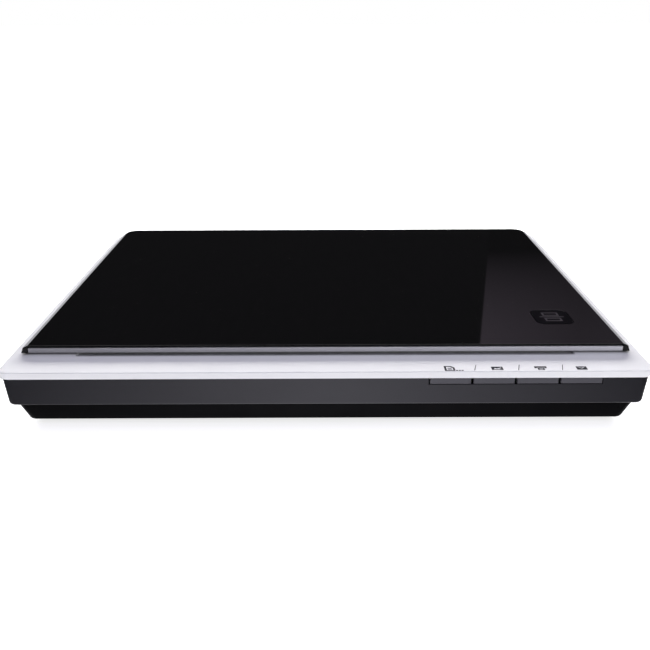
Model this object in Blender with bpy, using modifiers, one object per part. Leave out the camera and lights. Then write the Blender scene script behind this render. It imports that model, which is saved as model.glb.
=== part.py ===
"""A flatbed document scanner: a shallow two-tone case, a glass platen and a hinged lid.

Metres, +Z up. The origin is under the middle of the case, on the table. +X runs along the
long side and -Y faces the user, where the buttons are. Each separate piece is one object,
and each moving piece hangs on an empty that stands on its joint's axis.
"""

import math

import bmesh
import bpy
from mathutils import Matrix, Vector

# Casing: half sizes of the outlines, and heights above the table.
BODY_X = 0.183
BODY_Y = 0.135
BODY_CORNER = 0.0065
FLOOR_CLEARANCE = 0.0033
BASE_TOP = 0.0164
BAND_LOW = 0.0167
BAND_HIGH = 0.0342
COVER_LOW = 0.0344
COVER_PLATE_LOW = 0.0360
COVER_HIGH = 0.0384
COVER_EDGE = 0.0006
BASE_INSET = 0.0056
BASE_DRAFT = 0.0042
BASE_WALL = 0.0022
BASE_EDGE = 0.0012
BASE_CORNER = 0.0045
INNER_CORNER = 0.0030
BAND_INSET = 0.0014
BAND_DRAFT = 0.0010
BAND_WALL = 0.0020
BAND_EDGE = 0.0013
BAND_INNER_CORNER = 0.0066
LEDGE_CORNER = 0.0060
BASE_FLOOR = FLOOR_CLEARANCE + BASE_WALL
LEDGE_THICKNESS = 0.0020
LEDGE_WIDTH = 0.0092

# The free gap between pieces that touch, and between pieces that slide or turn.
GAP = 0.0002
RUNNING = 0.00005

# How far a cutter reaches past a face, and how far a joined solid reaches into its neighbour.
OVER = 0.001
SUNK = 0.0001

# Glass platen and the opening over it.
OPENING_LOW = (-0.150, -0.104)
OPENING_HIGH = (0.150, 0.114)
GLASS_LOW = (-0.166, -0.109, 0.0319)
GLASS_HIGH = (0.158, 0.119, 0.0349)
SEAL_WIDTH = 0.005

# Lid: a cover over a frame that carries the document pad.
LID_X = 0.1758
LID_FRONT = -0.1112
LID_BACK = 0.1333
LID_LOW = 0.0394
LID_HIGH = 0.0440
LID_WALL = 0.0020
LID_SKIN_LOW = 0.0422
LID_BEVEL_DROP = 0.0013
LID_SIDE_BEVEL = 0.0030
LID_FRONT_BEVEL = 0.0004
LID_BACK_CORNER = 0.008
LID_FRONT_CORNER = 0.0005
LID_DRAFT = 0.0013
LID_INNER_CORNER = 0.005
FRAME_LOW = 0.0397
FRAME_CORNER = 0.0045
LUG_RADIUS = 0.0020
LUG_WIDTH = 0.0034
TRIM_X = 0.1728
TRIM_DEPTH = 0.0023
TRIM_HEIGHTS = (0.0396, 0.0424)
TRIM_NOTCH_TOP = 0.0434
BADGE_CENTRE = (0.1426, -0.0702)
BADGE_SIDE = 0.023
BADGE_HEIGHTS = (0.0434, 0.0441)
BADGE_CORNER = 0.005
SCOOP_X = 0.1455
SCOOP_REACH = 0.0028
SCOOP_DEPTH = 0.0012
PAD_LOW = (-0.148, -0.102)
PAD_HIGH = (0.148, 0.112)
PAD_JOIN = 0.0358
PAD_RECESS = 0.0011
PAD_CORNER = 0.002
PAD_MARGIN = 0.001
BUMPER_PLACE = (0.162, -0.100)

# Hinges: the lid turns on two posts, which rise in sockets when a thick book lies under it.
HINGE_X = 0.120
HINGE_Y = 0.1300
HINGE_Z = 0.0398
HINGE_BARREL = 0.0023
HINGE_PIN = 0.00095
POST_X = 0.0090
POST_FRONT = 0.1272
POST_BACK = 0.1304
POST_LOW = 0.0206
TROUGH_FRONT = 0.123
TROUGH_FLOOR = 0.0358
SOCKET_WALL = 0.0030
ARM_MARGIN = 0.0006

# Buttons in the front band.
BUTTON_NAMES = ("button_document", "button_photo", "button_copy", "button_send")
BUTTON_START = 0.0583
BUTTON_PITCH = 0.02435
BUTTON_WIDTH = 0.0229
BUTTON_HEIGHTS = (0.0302, 0.0341)
BUTTON_FACE = -0.1341
BUTTON_FLANGE = 0.0013
BUTTON_MARGIN = 0.0006
STEM_HALF = 0.0015
KEY_BOARD_Y = (-0.1250, -0.1236)
KEY_BOARD_Z = (0.0235, 0.0335)
KEY_BOARD_FEET_X = (0.066, 0.146)
SWITCH_HALF = 0.003
SWITCH_Z = (0.0292, 0.0334)
SWITCH_DEPTH = 0.0016

# Scanning carriage at its home, on the left, with its guide rod and rack.
HOME_X = -0.155
BAR_X = 0.008
BAR_Y = (-0.108, 0.118)
BAR_Z = (0.0205, 0.0310)
CRADLE_X = 0.0085
CRADLE_Z = (0.0182, 0.0198)
END_GAP = 0.0004
END_WALL = 0.0016
END_TOP = 0.0262
WELL_LOW = 0.0102
BUSH_LOW = 0.0072
BUSH_REACH = 0.007
LENS_HALF = 0.0011
LAMP_X = (0.0030, 0.0062)
LAMP_Z = (0.0264, 0.0306)
SLOT_END = 0.003
BOARD_HALF = 0.0055
BOARD_SPACE_TOP = 0.0221
SPRING_Y = (-0.1035, 0.1135)
ROD_Y = 0.012
ROD_Z = 0.0125
ROD_RADIUS = 0.003
ROD_END = 0.170
SADDLE_X = 0.1676
SADDLE_HALF = 0.0021
SADDLE_REACH = 0.005
SADDLE_TOP = ROD_Z + 0.0004
CLIP_LOW = 0.0085
CLIP_WALL = 0.0014

# Drive: a motor pinion turns a compound gear, whose small wheel climbs along a fixed rack.
GEAR_X = HOME_X + 0.004
GEAR_Y = -0.015
RACK_MODULE = 0.001
RACK_GEAR_TEETH = 10
WHEEL_MODULE = 0.0006
WHEEL_TEETH = 45
FINE_TEETH = 30
PINION_TEETH = 10
WHEEL_Z = (0.0065, 0.0089)
RACK_GEAR_Z = (0.0087, 0.0153)
RACK_Z = (0.0098, 0.0146)
RACK_X = (-0.161, 0.163)
RACK_BACK = 0.0025
RACK_LEG_Y = (0.0006, 0.0023)
PINION_Z = (0.0064, 0.0096)
AXLE_RADIUS = 0.00125
AXLE_Z = (0.0061, 0.0178)
SHAFT_RADIUS = 0.00075
SHAFT_TOP = 0.0125
MOTOR_RADIUS = 0.010
MOTOR_Z = (0.0100, 0.0175)
FLANGE_REACH = (0.0125, 0.0070)

# Boards, fasteners and feet.
SCREW_PLACES = (
    (-0.167, -0.112),
    (0.167, -0.112),
    (-0.167, 0.112),
    (0.167, 0.112),
    (-0.060, -0.1185),
    (0.060, -0.1185),
)
SCREW_NAMES = (
    "case_screw_front_left",
    "case_screw_front_right",
    "case_screw_rear_left",
    "case_screw_rear_right",
    "case_screw_middle_left",
    "case_screw_middle_right",
)
BOSS_RADIUS = 0.0042
SCREW_HEAD_RADIUS = 0.0028
SCREW_SHAFT_RADIUS = 0.0014
SCREW_HEAD_Z = (0.0100, 0.0120)
SCREW_TOP = 0.0196
FOOT_X = 0.148
FOOT_Y = 0.102
FOOT_RADIUS = 0.008
FOOT_TOP = FLOOR_CLEARANCE + 0.0006
BOARD_POST_RADIUS = 0.0022
MAIN_BOARD_LOW = (0.100, 0.066, 0.0072)
MAIN_BOARD_HIGH = (0.1612, 0.122, 0.0088)
USB_X = 0.1572
USB_Z = (0.0090, 0.0130)
USB_Y = (0.1180, 0.1275)
RIBBON_Y = (0.084, 0.096)
RIBBON_BOARD_Z = 0.01005
RIBBON_CRADLE_Z = 0.0170
SOCKET_MARGIN = 0.002
SLOT_HALF = 0.00035
CHIP_HEIGHT = 0.0011

FINISHES = {
    "base_plastic": ((0.010, 0.010, 0.011), 0.45, 0.0),
    "band_plastic": ((0.045, 0.045, 0.050), 0.40, 0.0),
    "white_plastic": ((0.78, 0.78, 0.79), 0.35, 0.0),
    "lid_plastic": ((0.006, 0.006, 0.007), 0.10, 0.0),
    "trim_plastic": ((0.22, 0.22, 0.25), 0.35, 0.3),
    "frame_plastic": ((0.030, 0.030, 0.032), 0.55, 0.0),
    "button_plastic": ((0.085, 0.080, 0.090), 0.35, 0.0),
    "natural_plastic": ((0.60, 0.60, 0.56), 0.40, 0.0),
    "glass": ((0.80, 0.90, 0.88), 0.02, 0.0),
    "rubber": ((0.020, 0.020, 0.020), 0.85, 0.0),
    "foam": ((0.25, 0.25, 0.26), 0.95, 0.0),
    "pad_sheet": ((0.85, 0.85, 0.85), 0.50, 0.0),
    "steel": ((0.55, 0.55, 0.57), 0.25, 1.0),
    "brass": ((0.70, 0.52, 0.22), 0.30, 1.0),
    "circuit_board": ((0.020, 0.120, 0.045), 0.50, 0.0),
    "adhesive": ((0.040, 0.040, 0.040), 0.80, 0.0),
}


# ------------------------------------------------------------------ scene and naming helpers


def clear_scene():
    for item in list(bpy.data.objects):
        bpy.data.objects.remove(item, do_unlink=True)


def new_collection(name):
    collection = bpy.data.collections.new(name)
    bpy.context.scene.collection.children.link(collection)
    return collection


def piece_material(name, finish):
    colour, roughness, metallic = FINISHES[finish]
    material = bpy.data.materials.new(f"{name}_{finish}")
    material.use_nodes = True
    shader = material.node_tree.nodes["Principled BSDF"]
    shader.inputs["Base Color"].default_value = (*colour, 1.0)
    shader.inputs["Roughness"].default_value = roughness
    shader.inputs["Metallic"].default_value = metallic
    return material


def shade_round(mesh):
    mesh.shade_smooth()
    mesh.set_sharp_from_angle(angle=math.radians(35))


def solid(name, shape, finish, origin=None):
    """One piece from a bmesh in world coordinates. Its origin is its own middle unless given."""
    if origin is None:
        spans = [[v.co[axis] for v in shape.verts] for axis in range(3)]
        origin = Vector([(min(span) + max(span)) / 2 for span in spans])
    bmesh.ops.translate(shape, verts=shape.verts, vec=-Vector(origin))
    mesh = bpy.data.meshes.new(name)
    shape.to_mesh(mesh)
    shape.free()
    mesh.materials.append(piece_material(name, finish))
    shade_round(mesh)
    piece = bpy.data.objects.new(name, mesh)
    piece.location = origin
    PARTS.objects.link(piece)
    return piece


def tool(name, shape):
    """A helper mesh for a Boolean: a wire guide that isn't part of the object."""
    mesh = bpy.data.meshes.new(name)
    shape.to_mesh(mesh)
    shape.free()
    guide = bpy.data.objects.new(name, mesh)
    guide.hide_render = True
    guide.display_type = "WIRE"
    CUTTERS.objects.link(guide)
    return guide


def combine(piece, shape, operation, solver="EXACT"):
    modifier = piece.modifiers.new(f"{operation.lower()}_{len(piece.modifiers)}", "BOOLEAN")
    modifier.operation = operation
    modifier.solver = solver
    modifier.object = tool(f"{piece.name}_{modifier.name}", shape)


def cut(piece, *shapes):
    combine(piece, merged(shapes), "DIFFERENCE")


def add(piece, *shapes):
    combine(piece, merged(shapes), "UNION")


def hang(name, point, pieces):
    """Parents a moving body's pieces to an empty on the joint's axis."""
    pivot = bpy.data.objects.new(name, None)
    pivot.location = point
    PARTS.objects.link(pivot)
    for piece in pieces:
        piece.parent = pivot
        piece.matrix_parent_inverse = Matrix.Translation(-Vector(point))
    return pivot


# ------------------------------------------------------------------ shapes, as bmeshes


def merged(shapes):
    """Several shapes that don't touch, in one bmesh."""
    whole = bmesh.new()
    for shape in shapes:
        passing = bpy.data.meshes.new("passing")
        shape.to_mesh(passing)
        shape.free()
        whole.from_mesh(passing)
        bpy.data.meshes.remove(passing)
    return whole


def box(low, high):
    low, high = Vector(low), Vector(high)
    size = Matrix.Diagonal((*(high - low), 1.0))
    shape = bmesh.new()
    bmesh.ops.create_cube(shape, size=1.0, matrix=Matrix.Translation((low + high) / 2) @ size)
    return shape


def level_edges(shape, height):
    """The edges that lie at one height."""
    return [e for e in shape.edges if all(abs(v.co.z - height) < 1e-6 for v in e.verts)]


def upright_edges(shape):
    return [e for e in shape.edges if abs(e.verts[0].co.z - e.verts[1].co.z) > 1e-6]


def soften(shape, edges, width, steps):
    bmesh.ops.bevel(
        shape,
        geom=edges,
        offset=width,
        offset_type="OFFSET",
        segments=steps,
        profile=0.5,
        affect="EDGES",
        clamp_overlap=True,
    )


def slab(low, high, corner, steps=5, foot_inset=0.0):
    """A box with round upright corners, whose lower outline is drawn in by foot_inset."""
    shape = box(low, high)
    for vert in shape.verts:
        if vert.co.z < (low[2] + high[2]) / 2:
            vert.co.x -= math.copysign(foot_inset, vert.co.x)
            vert.co.y -= math.copysign(foot_inset, vert.co.y)
    soften(shape, upright_edges(shape), corner, steps)
    return shape


def centred_slab(half_x, half_y, low, high, corner, steps=5, foot_inset=0.0):
    return slab((-half_x, -half_y, low), (half_x, half_y, high), corner, steps, foot_inset)


def rod(centre, radius, low, high, axis="Z", sides=20):
    """A cylinder from low to high along an axis, through a centre given in the other two."""
    shape = bmesh.new()
    turn = {
        "X": Matrix.Rotation(math.pi / 2, 4, "Y"),
        "Y": Matrix.Rotation(-math.pi / 2, 4, "X"),
        "Z": Matrix.Identity(4),
    }[axis]
    middle = (low + high) / 2
    place = {
        "X": (middle, *centre),
        "Y": (centre[0], middle, centre[1]),
        "Z": (*centre, middle),
    }[axis]
    bmesh.ops.create_cone(
        shape,
        cap_ends=True,
        segments=sides,
        radius1=radius,
        radius2=radius,
        depth=high - low,
        matrix=Matrix.Translation(place) @ turn,
    )
    return shape


def prism(outline, low, high, hole_radius=0.0, hole_centre=(0.0, 0.0), hole_sides=16):
    """A flat outline raised from low to high, with a round hole through it if one is asked for."""
    curve = bpy.data.curves.new("outline", "CURVE")
    curve.dimensions = "2D"
    curve.fill_mode = "BOTH"
    curve.extrude = (high - low) / 2
    rings = [outline]
    if hole_radius > 0:
        turns = [math.tau * i / hole_sides for i in range(hole_sides)]
        x, y = hole_centre
        rings.append([(x + hole_radius * math.cos(a), y + hole_radius * math.sin(a)) for a in turns])
    for ring in rings:
        spline = curve.splines.new("POLY")
        spline.points.add(len(ring) - 1)
        for point, (x, y) in zip(spline.points, ring):
            point.co = (x, y, 0.0, 1.0)
        spline.use_cyclic_u = True
    return curve_shape(curve, Matrix.Translation((0, 0, (low + high) / 2)))


def curve_shape(curve, place):
    """The closed mesh of a curve, with its caps welded to its sides."""
    holder = bpy.data.objects.new("holder", curve)
    CUTTERS.objects.link(holder)
    graph = bpy.context.evaluated_depsgraph_get()
    mesh = bpy.data.meshes.new_from_object(holder.evaluated_get(graph))
    bpy.data.objects.remove(holder, do_unlink=True)
    shape = bmesh.new()
    shape.from_mesh(mesh)
    bmesh.ops.remove_doubles(shape, verts=shape.verts, dist=1e-6)
    bmesh.ops.transform(shape, matrix=place, verts=shape.verts)
    bmesh.ops.recalc_face_normals(shape, faces=shape.faces)
    return shape


def turned(name, profile, finish, place, sides=24):
    """A round piece: a profile of (radius, height) points, top to bottom, spun about Z."""
    shape = bmesh.new()
    points = [shape.verts.new((radius, 0.0, height)) for radius, height in profile]
    for first, second in zip(points, points[1:]):
        shape.edges.new((first, second))
    piece = solid(name, shape, finish, origin=(0, 0, 0))
    piece.location = place
    spin = piece.modifiers.new("spin", "SCREW")
    spin.steps = sides
    spin.render_steps = sides
    spin.use_merge_vertices = True
    spin.merge_threshold = 0.00001
    spin.use_smooth_shade = True
    return piece


# ------------------------------------------------------------------ lower case


def lower_case():
    """The tray: drafted walls, with bosses, rod saddles and board posts on its floor."""
    half_x, half_y = BODY_X - BASE_INSET, BODY_Y - BASE_INSET
    shell = centred_slab(half_x, half_y, FLOOR_CLEARANCE, BASE_TOP, BASE_CORNER, 6, BASE_DRAFT)
    soften(shell, level_edges(shell, FLOOR_CLEARANCE), BASE_EDGE, 3)
    case = solid("lower_case", shell, "base_plastic", origin=(0, 0, 0))
    inner_x, inner_y = half_x - BASE_WALL, half_y - BASE_WALL
    draft = BASE_DRAFT * (BASE_TOP + OVER - BASE_FLOOR) / (BASE_TOP - FLOOR_CLEARANCE)
    cut(case, centred_slab(inner_x, inner_y, BASE_FLOOR, BASE_TOP + OVER, INNER_CORNER, 6, draft))
    low = BASE_FLOOR - GAP
    bosses = [rod(place, BOSS_RADIUS, low, BASE_TOP, sides=16) for place in SCREW_PLACES]
    front, back = ROD_Y - SADDLE_REACH, ROD_Y + SADDLE_REACH
    saddles = [
        box((x - SADDLE_HALF, front, low), (x + SADDLE_HALF, back, SADDLE_TOP))
        for x in (-SADDLE_X, SADDLE_X)
    ]
    board_low = MAIN_BOARD_LOW[2] - GAP
    posts = [rod(place, BOARD_POST_RADIUS, low, board_low, sides=12) for place in board_corners()]
    add(case, *bosses, *saddles, *posts)
    shaft, head = SCREW_SHAFT_RADIUS + GAP, SCREW_HEAD_RADIUS + GAP
    cut(case, *[rod(place, shaft, SCREW_HEAD_Z[0], BASE_TOP + OVER, sides=16) for place in SCREW_PLACES])
    cut(case, *[rod(place, head, 0.0, SCREW_HEAD_Z[1] + GAP, sides=16) for place in SCREW_PLACES])
    cut(case, *rod_notches())
    foot_top = FOOT_TOP + GAP
    foot_seats = [rod(place, FOOT_RADIUS + GAP, 0.0, foot_top, sides=24) for place in foot_places()]
    cut(case, *foot_seats, usb_window())
    return case


def board_corners():
    low, high = MAIN_BOARD_LOW, MAIN_BOARD_HIGH
    margin = 0.004
    return [(x, y) for x in (low[0] + margin, high[0] - margin) for y in (low[1] + margin, high[1] - margin)]


def rod_notches():
    """Round beds in the tops of the two saddles, which the guide rod lies in."""
    radius = ROD_RADIUS + RUNNING
    ends = (SADDLE_X - SADDLE_HALF - OVER, ROD_END + GAP)
    spans = [(-ends[1], -ends[0]), ends]
    return [rod((ROD_Y, ROD_Z), radius, *span, axis="X", sides=24) for span in spans]


def usb_window():
    half_width = 0.0043
    return box(
        (USB_X - half_width, USB_Y[0] + 0.004, USB_Z[0] - 0.0004),
        (USB_X + half_width, BODY_Y, USB_Z[1] + 0.0004),
    )


def foot_places():
    return [(x, y) for x in (-FOOT_X, FOOT_X) for y in (-FOOT_Y, FOOT_Y)]


def feet():
    names = ("foot_front_left", "foot_rear_left", "foot_front_right", "foot_rear_right")
    profile = [
        (0.0, FOOT_TOP),
        (FOOT_RADIUS, FOOT_TOP),
        (FOOT_RADIUS, 0.0018),
        (FOOT_RADIUS - 0.0005, 0.0006),
        (FOOT_RADIUS - 0.0014, 0.0),
        (0.0, 0.0),
    ]
    return [turned(name, profile, "rubber", (*place, 0.0), 24) for name, place in zip(names, foot_places())]


def case_screws():
    head_low, head_high = SCREW_HEAD_Z
    head, shaft = SCREW_HEAD_RADIUS, SCREW_SHAFT_RADIUS
    top = SCREW_TOP - head_low
    step = head_high - head_low
    profile = [
        (0.0, top),
        (shaft * 0.5, top),
        (shaft, top - 0.001),
        (shaft, step),
        (head, step),
        (head, 0.0006),
        (head * 0.7, 0.0),
        (0.0, 0.0),
    ]
    screws = []
    for name, place in zip(SCREW_NAMES, SCREW_PLACES):
        screw = turned(name, profile, "steel", (*place, head_low), 16)
        reach, arm, depth = 0.0016, 0.0004, 0.0011
        low, high = head_low - 0.001, head_low + depth
        x, y = place
        along = box((x - reach, y - arm, low), (x + reach, y + arm, high))
        across = box((x - arm, y - reach, low), (x + arm, y + reach, high))
        cut(screw, along)
        cut(screw, across)
        screws.append(screw)
    return screws


# ------------------------------------------------------------------ front band and top cover


def case_band():
    half_x, half_y = BODY_X - BAND_INSET, BODY_Y - BAND_INSET
    shell = centred_slab(half_x, half_y, BAND_LOW, BAND_HIGH, BODY_CORNER - BAND_INSET, 6, BAND_DRAFT)
    soften(shell, level_edges(shell, BAND_LOW), BAND_EDGE, 4)
    band = solid("case_band", shell, "band_plastic", origin=(0, 0, 0))
    ledge_top = BAND_LOW + LEDGE_THICKNESS
    inner_x, inner_y = half_x - BAND_WALL, half_y - BAND_WALL
    cut(band, centred_slab(inner_x, inner_y, ledge_top, BAND_HIGH + OVER, BAND_INNER_CORNER, 6, BAND_DRAFT))
    hole_x, hole_y = half_x - LEDGE_WIDTH, half_y - LEDGE_WIDTH
    cut(band, centred_slab(hole_x, hole_y, BAND_LOW - OVER, ledge_top + OVER, LEDGE_CORNER, 6))
    add(band, *screw_tabs(hole_x, hole_y), *hinge_sockets(inner_y))
    tab_holes = [
        rod(place, SCREW_SHAFT_RADIUS + GAP, BAND_LOW - OVER, ledge_top + OVER, sides=16)
        for place in SCREW_PLACES
    ]
    slots = [post_space(side, POST_LOW - 0.0011, BAND_HIGH + OVER) for side in (-1, 1)]
    cut(band, *tab_holes, *slots, button_window())
    return band


def screw_tabs(hole_x, hole_y):
    """Tongues on the band's ledge that the case screws bite into."""
    low, high = BAND_LOW, BAND_LOW + LEDGE_THICKNESS
    reach = 0.0045
    tabs = []
    for x, y in SCREW_PLACES:
        if abs(x) > 0.1:
            inner = abs(x) - BOSS_RADIUS + SCREW_SHAFT_RADIUS
            ends = sorted((math.copysign(inner, x), math.copysign(hole_x + OVER, x)))
            tabs.append(box((ends[0], y - reach, low), (ends[1], y + reach, high)))
        else:
            tabs.append(box((x - reach, -hole_y - OVER, low), (x + reach, y + reach, high)))
    return tabs


def hinge_sockets(inner_y):
    return [
        box(
            (side * HINGE_X - POST_X - SOCKET_WALL, POST_FRONT - SOCKET_WALL + GAP, BAND_LOW + OVER),
            (side * HINGE_X + POST_X + SOCKET_WALL, inner_y + 5 * SUNK, BAND_HIGH - 2 * GAP),
        )
        for side in (-1, 1)
    ]


def post_space(side, low, high):
    """The room a hinge post slides in."""
    return box(
        (side * HINGE_X - POST_X - GAP, POST_FRONT - GAP, low),
        (side * HINGE_X + POST_X + GAP, POST_BACK + GAP, high),
    )


def button_row_end():
    return BUTTON_START + BUTTON_PITCH * (len(BUTTON_NAMES) - 1) + BUTTON_WIDTH


def button_window():
    """The opening in the band's front wall that the row of buttons fills."""
    return box(
        (BUTTON_START - BUTTON_MARGIN, -BODY_Y, BUTTON_HEIGHTS[0] - BUTTON_MARGIN),
        (button_row_end() + BUTTON_MARGIN, -BODY_Y + 3 * BAND_WALL, BAND_HIGH + OVER),
    )


def top_cover():
    shell = centred_slab(BODY_X, BODY_Y, COVER_LOW, COVER_HIGH, BODY_CORNER, 7)
    soften(shell, level_edges(shell, COVER_HIGH), COVER_EDGE, 4)
    cover = solid("top_cover", shell, "white_plastic", origin=(0, 0, 0))
    lip = BAND_INSET + BAND_WALL
    half_x, half_y = BODY_X - lip, BODY_Y - lip
    cut(cover, centred_slab(half_x, half_y, COVER_LOW - OVER, COVER_PLATE_LOW, BAND_INNER_CORNER, 6))
    add(cover, trough_tray())
    opening = slab(
        (*OPENING_LOW, COVER_LOW - OVER),
        (*OPENING_HIGH, COVER_HIGH + OVER),
        0.002,
        3,
    )
    trough = box(
        (-LID_X - OVER, TROUGH_FRONT, TROUGH_FLOOR),
        (LID_X + OVER, BODY_Y + OVER, COVER_HIGH + OVER),
    )
    cut(cover, opening, trough, finger_scoop())
    cut(cover, *[post_space(side, COVER_LOW - OVER, COVER_HIGH) for side in (-1, 1)])
    return cover


def trough_tray():
    """The thicker strip under the lid's back edge, so that the trough can be sunk into it."""
    inset, wall = 0.003, 0.0016
    return box(
        (-BODY_X + inset, TROUGH_FRONT - wall, COVER_LOW + SUNK),
        (BODY_X - inset, BODY_Y - inset, COVER_PLATE_LOW + OVER),
    )


def finger_scoop():
    """A shallow recess in front of the lid, for the fingers that lift it."""
    low = (-SCOOP_X, LID_FRONT - SCOOP_REACH, COVER_HIGH - SCOOP_DEPTH)
    high = (SCOOP_X, LID_FRONT + 2 * SCOOP_REACH, COVER_HIGH + OVER)
    return slab(low, high, SCOOP_DEPTH, 3, OVER)


def platen_glass():
    pane = box(GLASS_LOW, GLASS_HIGH)
    soften(pane, upright_edges(pane), 0.0015, 2)
    return solid("platen_glass", pane, "glass")


def glass_seal():
    low, high = GLASS_HIGH[2] + GAP, COVER_PLATE_LOW - GAP
    inner, outer = 0.0003, 0.0003 + SEAL_WIDTH
    (low_x, low_y), (high_x, high_y) = OPENING_LOW, OPENING_HIGH
    ring = box(
        (low_x - outer, low_y - SEAL_WIDTH, low),
        (high_x + outer, high_y + SEAL_WIDTH, high),
    )
    seal = solid("glass_seal", ring, "adhesive")
    hole = box(
        (low_x - inner, low_y - inner, low - OVER),
        (high_x + inner, high_y + inner, high + OVER),
    )
    cut(seal, hole)
    return seal


def calibration_strip():
    """The white film under the glass at the home end, which the sensor reads as white."""
    top, thickness, end = GLASS_LOW[2] - 0.0001, 0.00025, 0.004
    strip = box(
        (HOME_X - 0.006, BAR_Y[0] + end, top - thickness),
        (HOME_X + 0.004, BAR_Y[1] - end, top),
    )
    return solid("calibration_strip", strip, "pad_sheet")


# ------------------------------------------------------------------ buttons


def button(index):
    """One button: a face in the band's window, a flange behind the wall, and a short stem."""
    low_x = BUTTON_START + BUTTON_PITCH * index
    high_x = low_x + BUTTON_WIDTH
    low_z, high_z = BUTTON_HEIGHTS
    behind_wall = -BODY_Y + BAND_INSET + BAND_WALL + BUTTON_MARGIN
    face = box((low_x, BUTTON_FACE, low_z), (high_x, behind_wall + 5 * SUNK, high_z))
    front = [e for e in face.edges if all(v.co.y < BUTTON_FACE + 1e-6 for v in e.verts)]
    soften(face, front, 0.0004, 2)
    piece = solid(BUTTON_NAMES[index], face, "button_plastic")
    flange_back = behind_wall + 0.0010
    flange = box(
        (low_x + GAP, behind_wall, low_z - BUTTON_FLANGE),
        (high_x - GAP, flange_back, high_z - GAP),
    )
    add(piece, flange)
    middle = (low_x + high_x) / 2
    stem = box(
        (middle - STEM_HALF, flange_back - GAP, SWITCH_Z[0] + OVER),
        (middle + STEM_HALF, flange_back + 0.0023, SWITCH_Z[0] + 3 * OVER),
    )
    add(piece, stem)
    return piece


def button_board():
    """The strip of circuit board behind the buttons, with a key switch behind each."""
    front, back = KEY_BOARD_Y
    board = box((BUTTON_START - OVER, front, KEY_BOARD_Z[0]), (button_row_end() + OVER, back, KEY_BOARD_Z[1]))
    piece = solid("button_board", board, "circuit_board")
    middles = [BUTTON_START + BUTTON_PITCH * index + BUTTON_WIDTH / 2 for index in range(len(BUTTON_NAMES))]
    switches = [
        box(
            (middle - SWITCH_HALF, front - SWITCH_DEPTH, SWITCH_Z[0]),
            (middle + SWITCH_HALF, front + SUNK, SWITCH_Z[1]),
        )
        for middle in middles
    ]
    add(piece, *switches)
    half_foot = 0.004
    board_feet = [
        box(
            (x - half_foot, front + GAP, BAND_LOW + LEDGE_THICKNESS + GAP),
            (x + half_foot, back - GAP, KEY_BOARD_Z[0] + 5 * SUNK),
        )
        for x in KEY_BOARD_FEET_X
    ]
    add(piece, *board_feet)
    return piece


# ------------------------------------------------------------------ electronics


def main_board():
    low, high = MAIN_BOARD_LOW, MAIN_BOARD_HIGH
    piece = solid("main_board", box(low, high), "circuit_board")
    top = high[2] - 0.0001
    chip_top = top + CHIP_HEIGHT
    scanner_chip = box((0.118, 0.100, top), (0.131, 0.113, chip_top))
    memory_chip = box((0.138, 0.086, top), (0.146, 0.098, chip_top))
    ribbon_socket = box(
        (low[0] + 0.001, RIBBON_Y[0] - SOCKET_MARGIN, top),
        (low[0] + 0.006, RIBBON_Y[1] + SOCKET_MARGIN, top + 2 * CHIP_HEIGHT),
    )
    add(piece, scanner_chip, memory_chip, ribbon_socket)
    slot = box(
        (low[0] - OVER, RIBBON_Y[0] - GAP, RIBBON_BOARD_Z - SLOT_HALF),
        (low[0] + 0.0045, RIBBON_Y[1] + GAP, RIBBON_BOARD_Z + SLOT_HALF),
    )
    cut(piece, slot)
    return piece


def usb_shell():
    half_width, wall = 0.00385, 0.0004
    (low_y, high_y), (low_z, high_z) = USB_Y, USB_Z
    outer = box((USB_X - half_width, low_y, low_z), (USB_X + half_width, high_y, high_z))
    shell = solid("usb_shell", outer, "steel")
    inner = box(
        (USB_X - half_width + wall, low_y + wall, low_z + wall),
        (USB_X + half_width - wall, high_y + OVER, high_z - wall),
    )
    cut(shell, inner)
    return shell


def usb_insert():
    """The plastic block and contact tongue inside the USB socket."""
    half_width, margin = 0.0033, 0.0006
    (low_y, high_y), (low_z, high_z) = USB_Y, USB_Z
    block_end = low_y + 0.0030
    block = box(
        (USB_X - half_width, low_y + margin, low_z + margin),
        (USB_X + half_width, block_end, high_z - margin),
    )
    insert = solid("usb_insert", block, "lid_plastic")
    middle, half_tongue, thickness = (low_z + high_z) / 2, 0.0025, 0.0009
    tongue = box(
        (USB_X - half_tongue, block_end - GAP, middle - thickness / 2),
        (USB_X + half_tongue, high_y - margin - GAP, middle + thickness / 2),
    )
    add(insert, tongue)
    return insert


def ribbon_cable():
    """The flat cable: along the floor from the board to its anchor, then up to the carriage."""
    floor_z = BASE_FLOOR + 0.0003
    board, cradle = MAIN_BOARD_LOW[0], HOME_X + CRADLE_X
    run = [
        (board + 0.004, RIBBON_BOARD_Z),
        (board - 0.002, RIBBON_BOARD_Z),
        (board - 0.006, 0.0085),
        (board - 0.010, floor_z + 0.0004),
        (board - 0.014, floor_z),
        (-0.002, floor_z),
        (-0.008, floor_z + 0.0006),
        (-0.060, floor_z + 0.0012),
        (-0.110, floor_z + 0.0024),
        (-0.132, 0.0115),
        (-0.140, 0.0150),
        (cradle + 0.0035, RIBBON_CRADLE_Z - GAP),
        (cradle - 0.0005, RIBBON_CRADLE_Z),
    ]
    shape = bmesh.new()
    near = [shape.verts.new((x, RIBBON_Y[0], z)) for x, z in run]
    far = [shape.verts.new((x, RIBBON_Y[1], z)) for x, z in run]
    for i in range(len(run) - 1):
        shape.faces.new((near[i], far[i], far[i + 1], near[i + 1]))
    ribbon = solid("ribbon_cable", shape, "natural_plastic", origin=(0, 0, 0))
    skin = ribbon.modifiers.new("thickness", "SOLIDIFY")
    skin.thickness = 0.0002
    skin.offset = 0.0
    return ribbon


# ------------------------------------------------------------------ guide rod and rack


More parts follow.
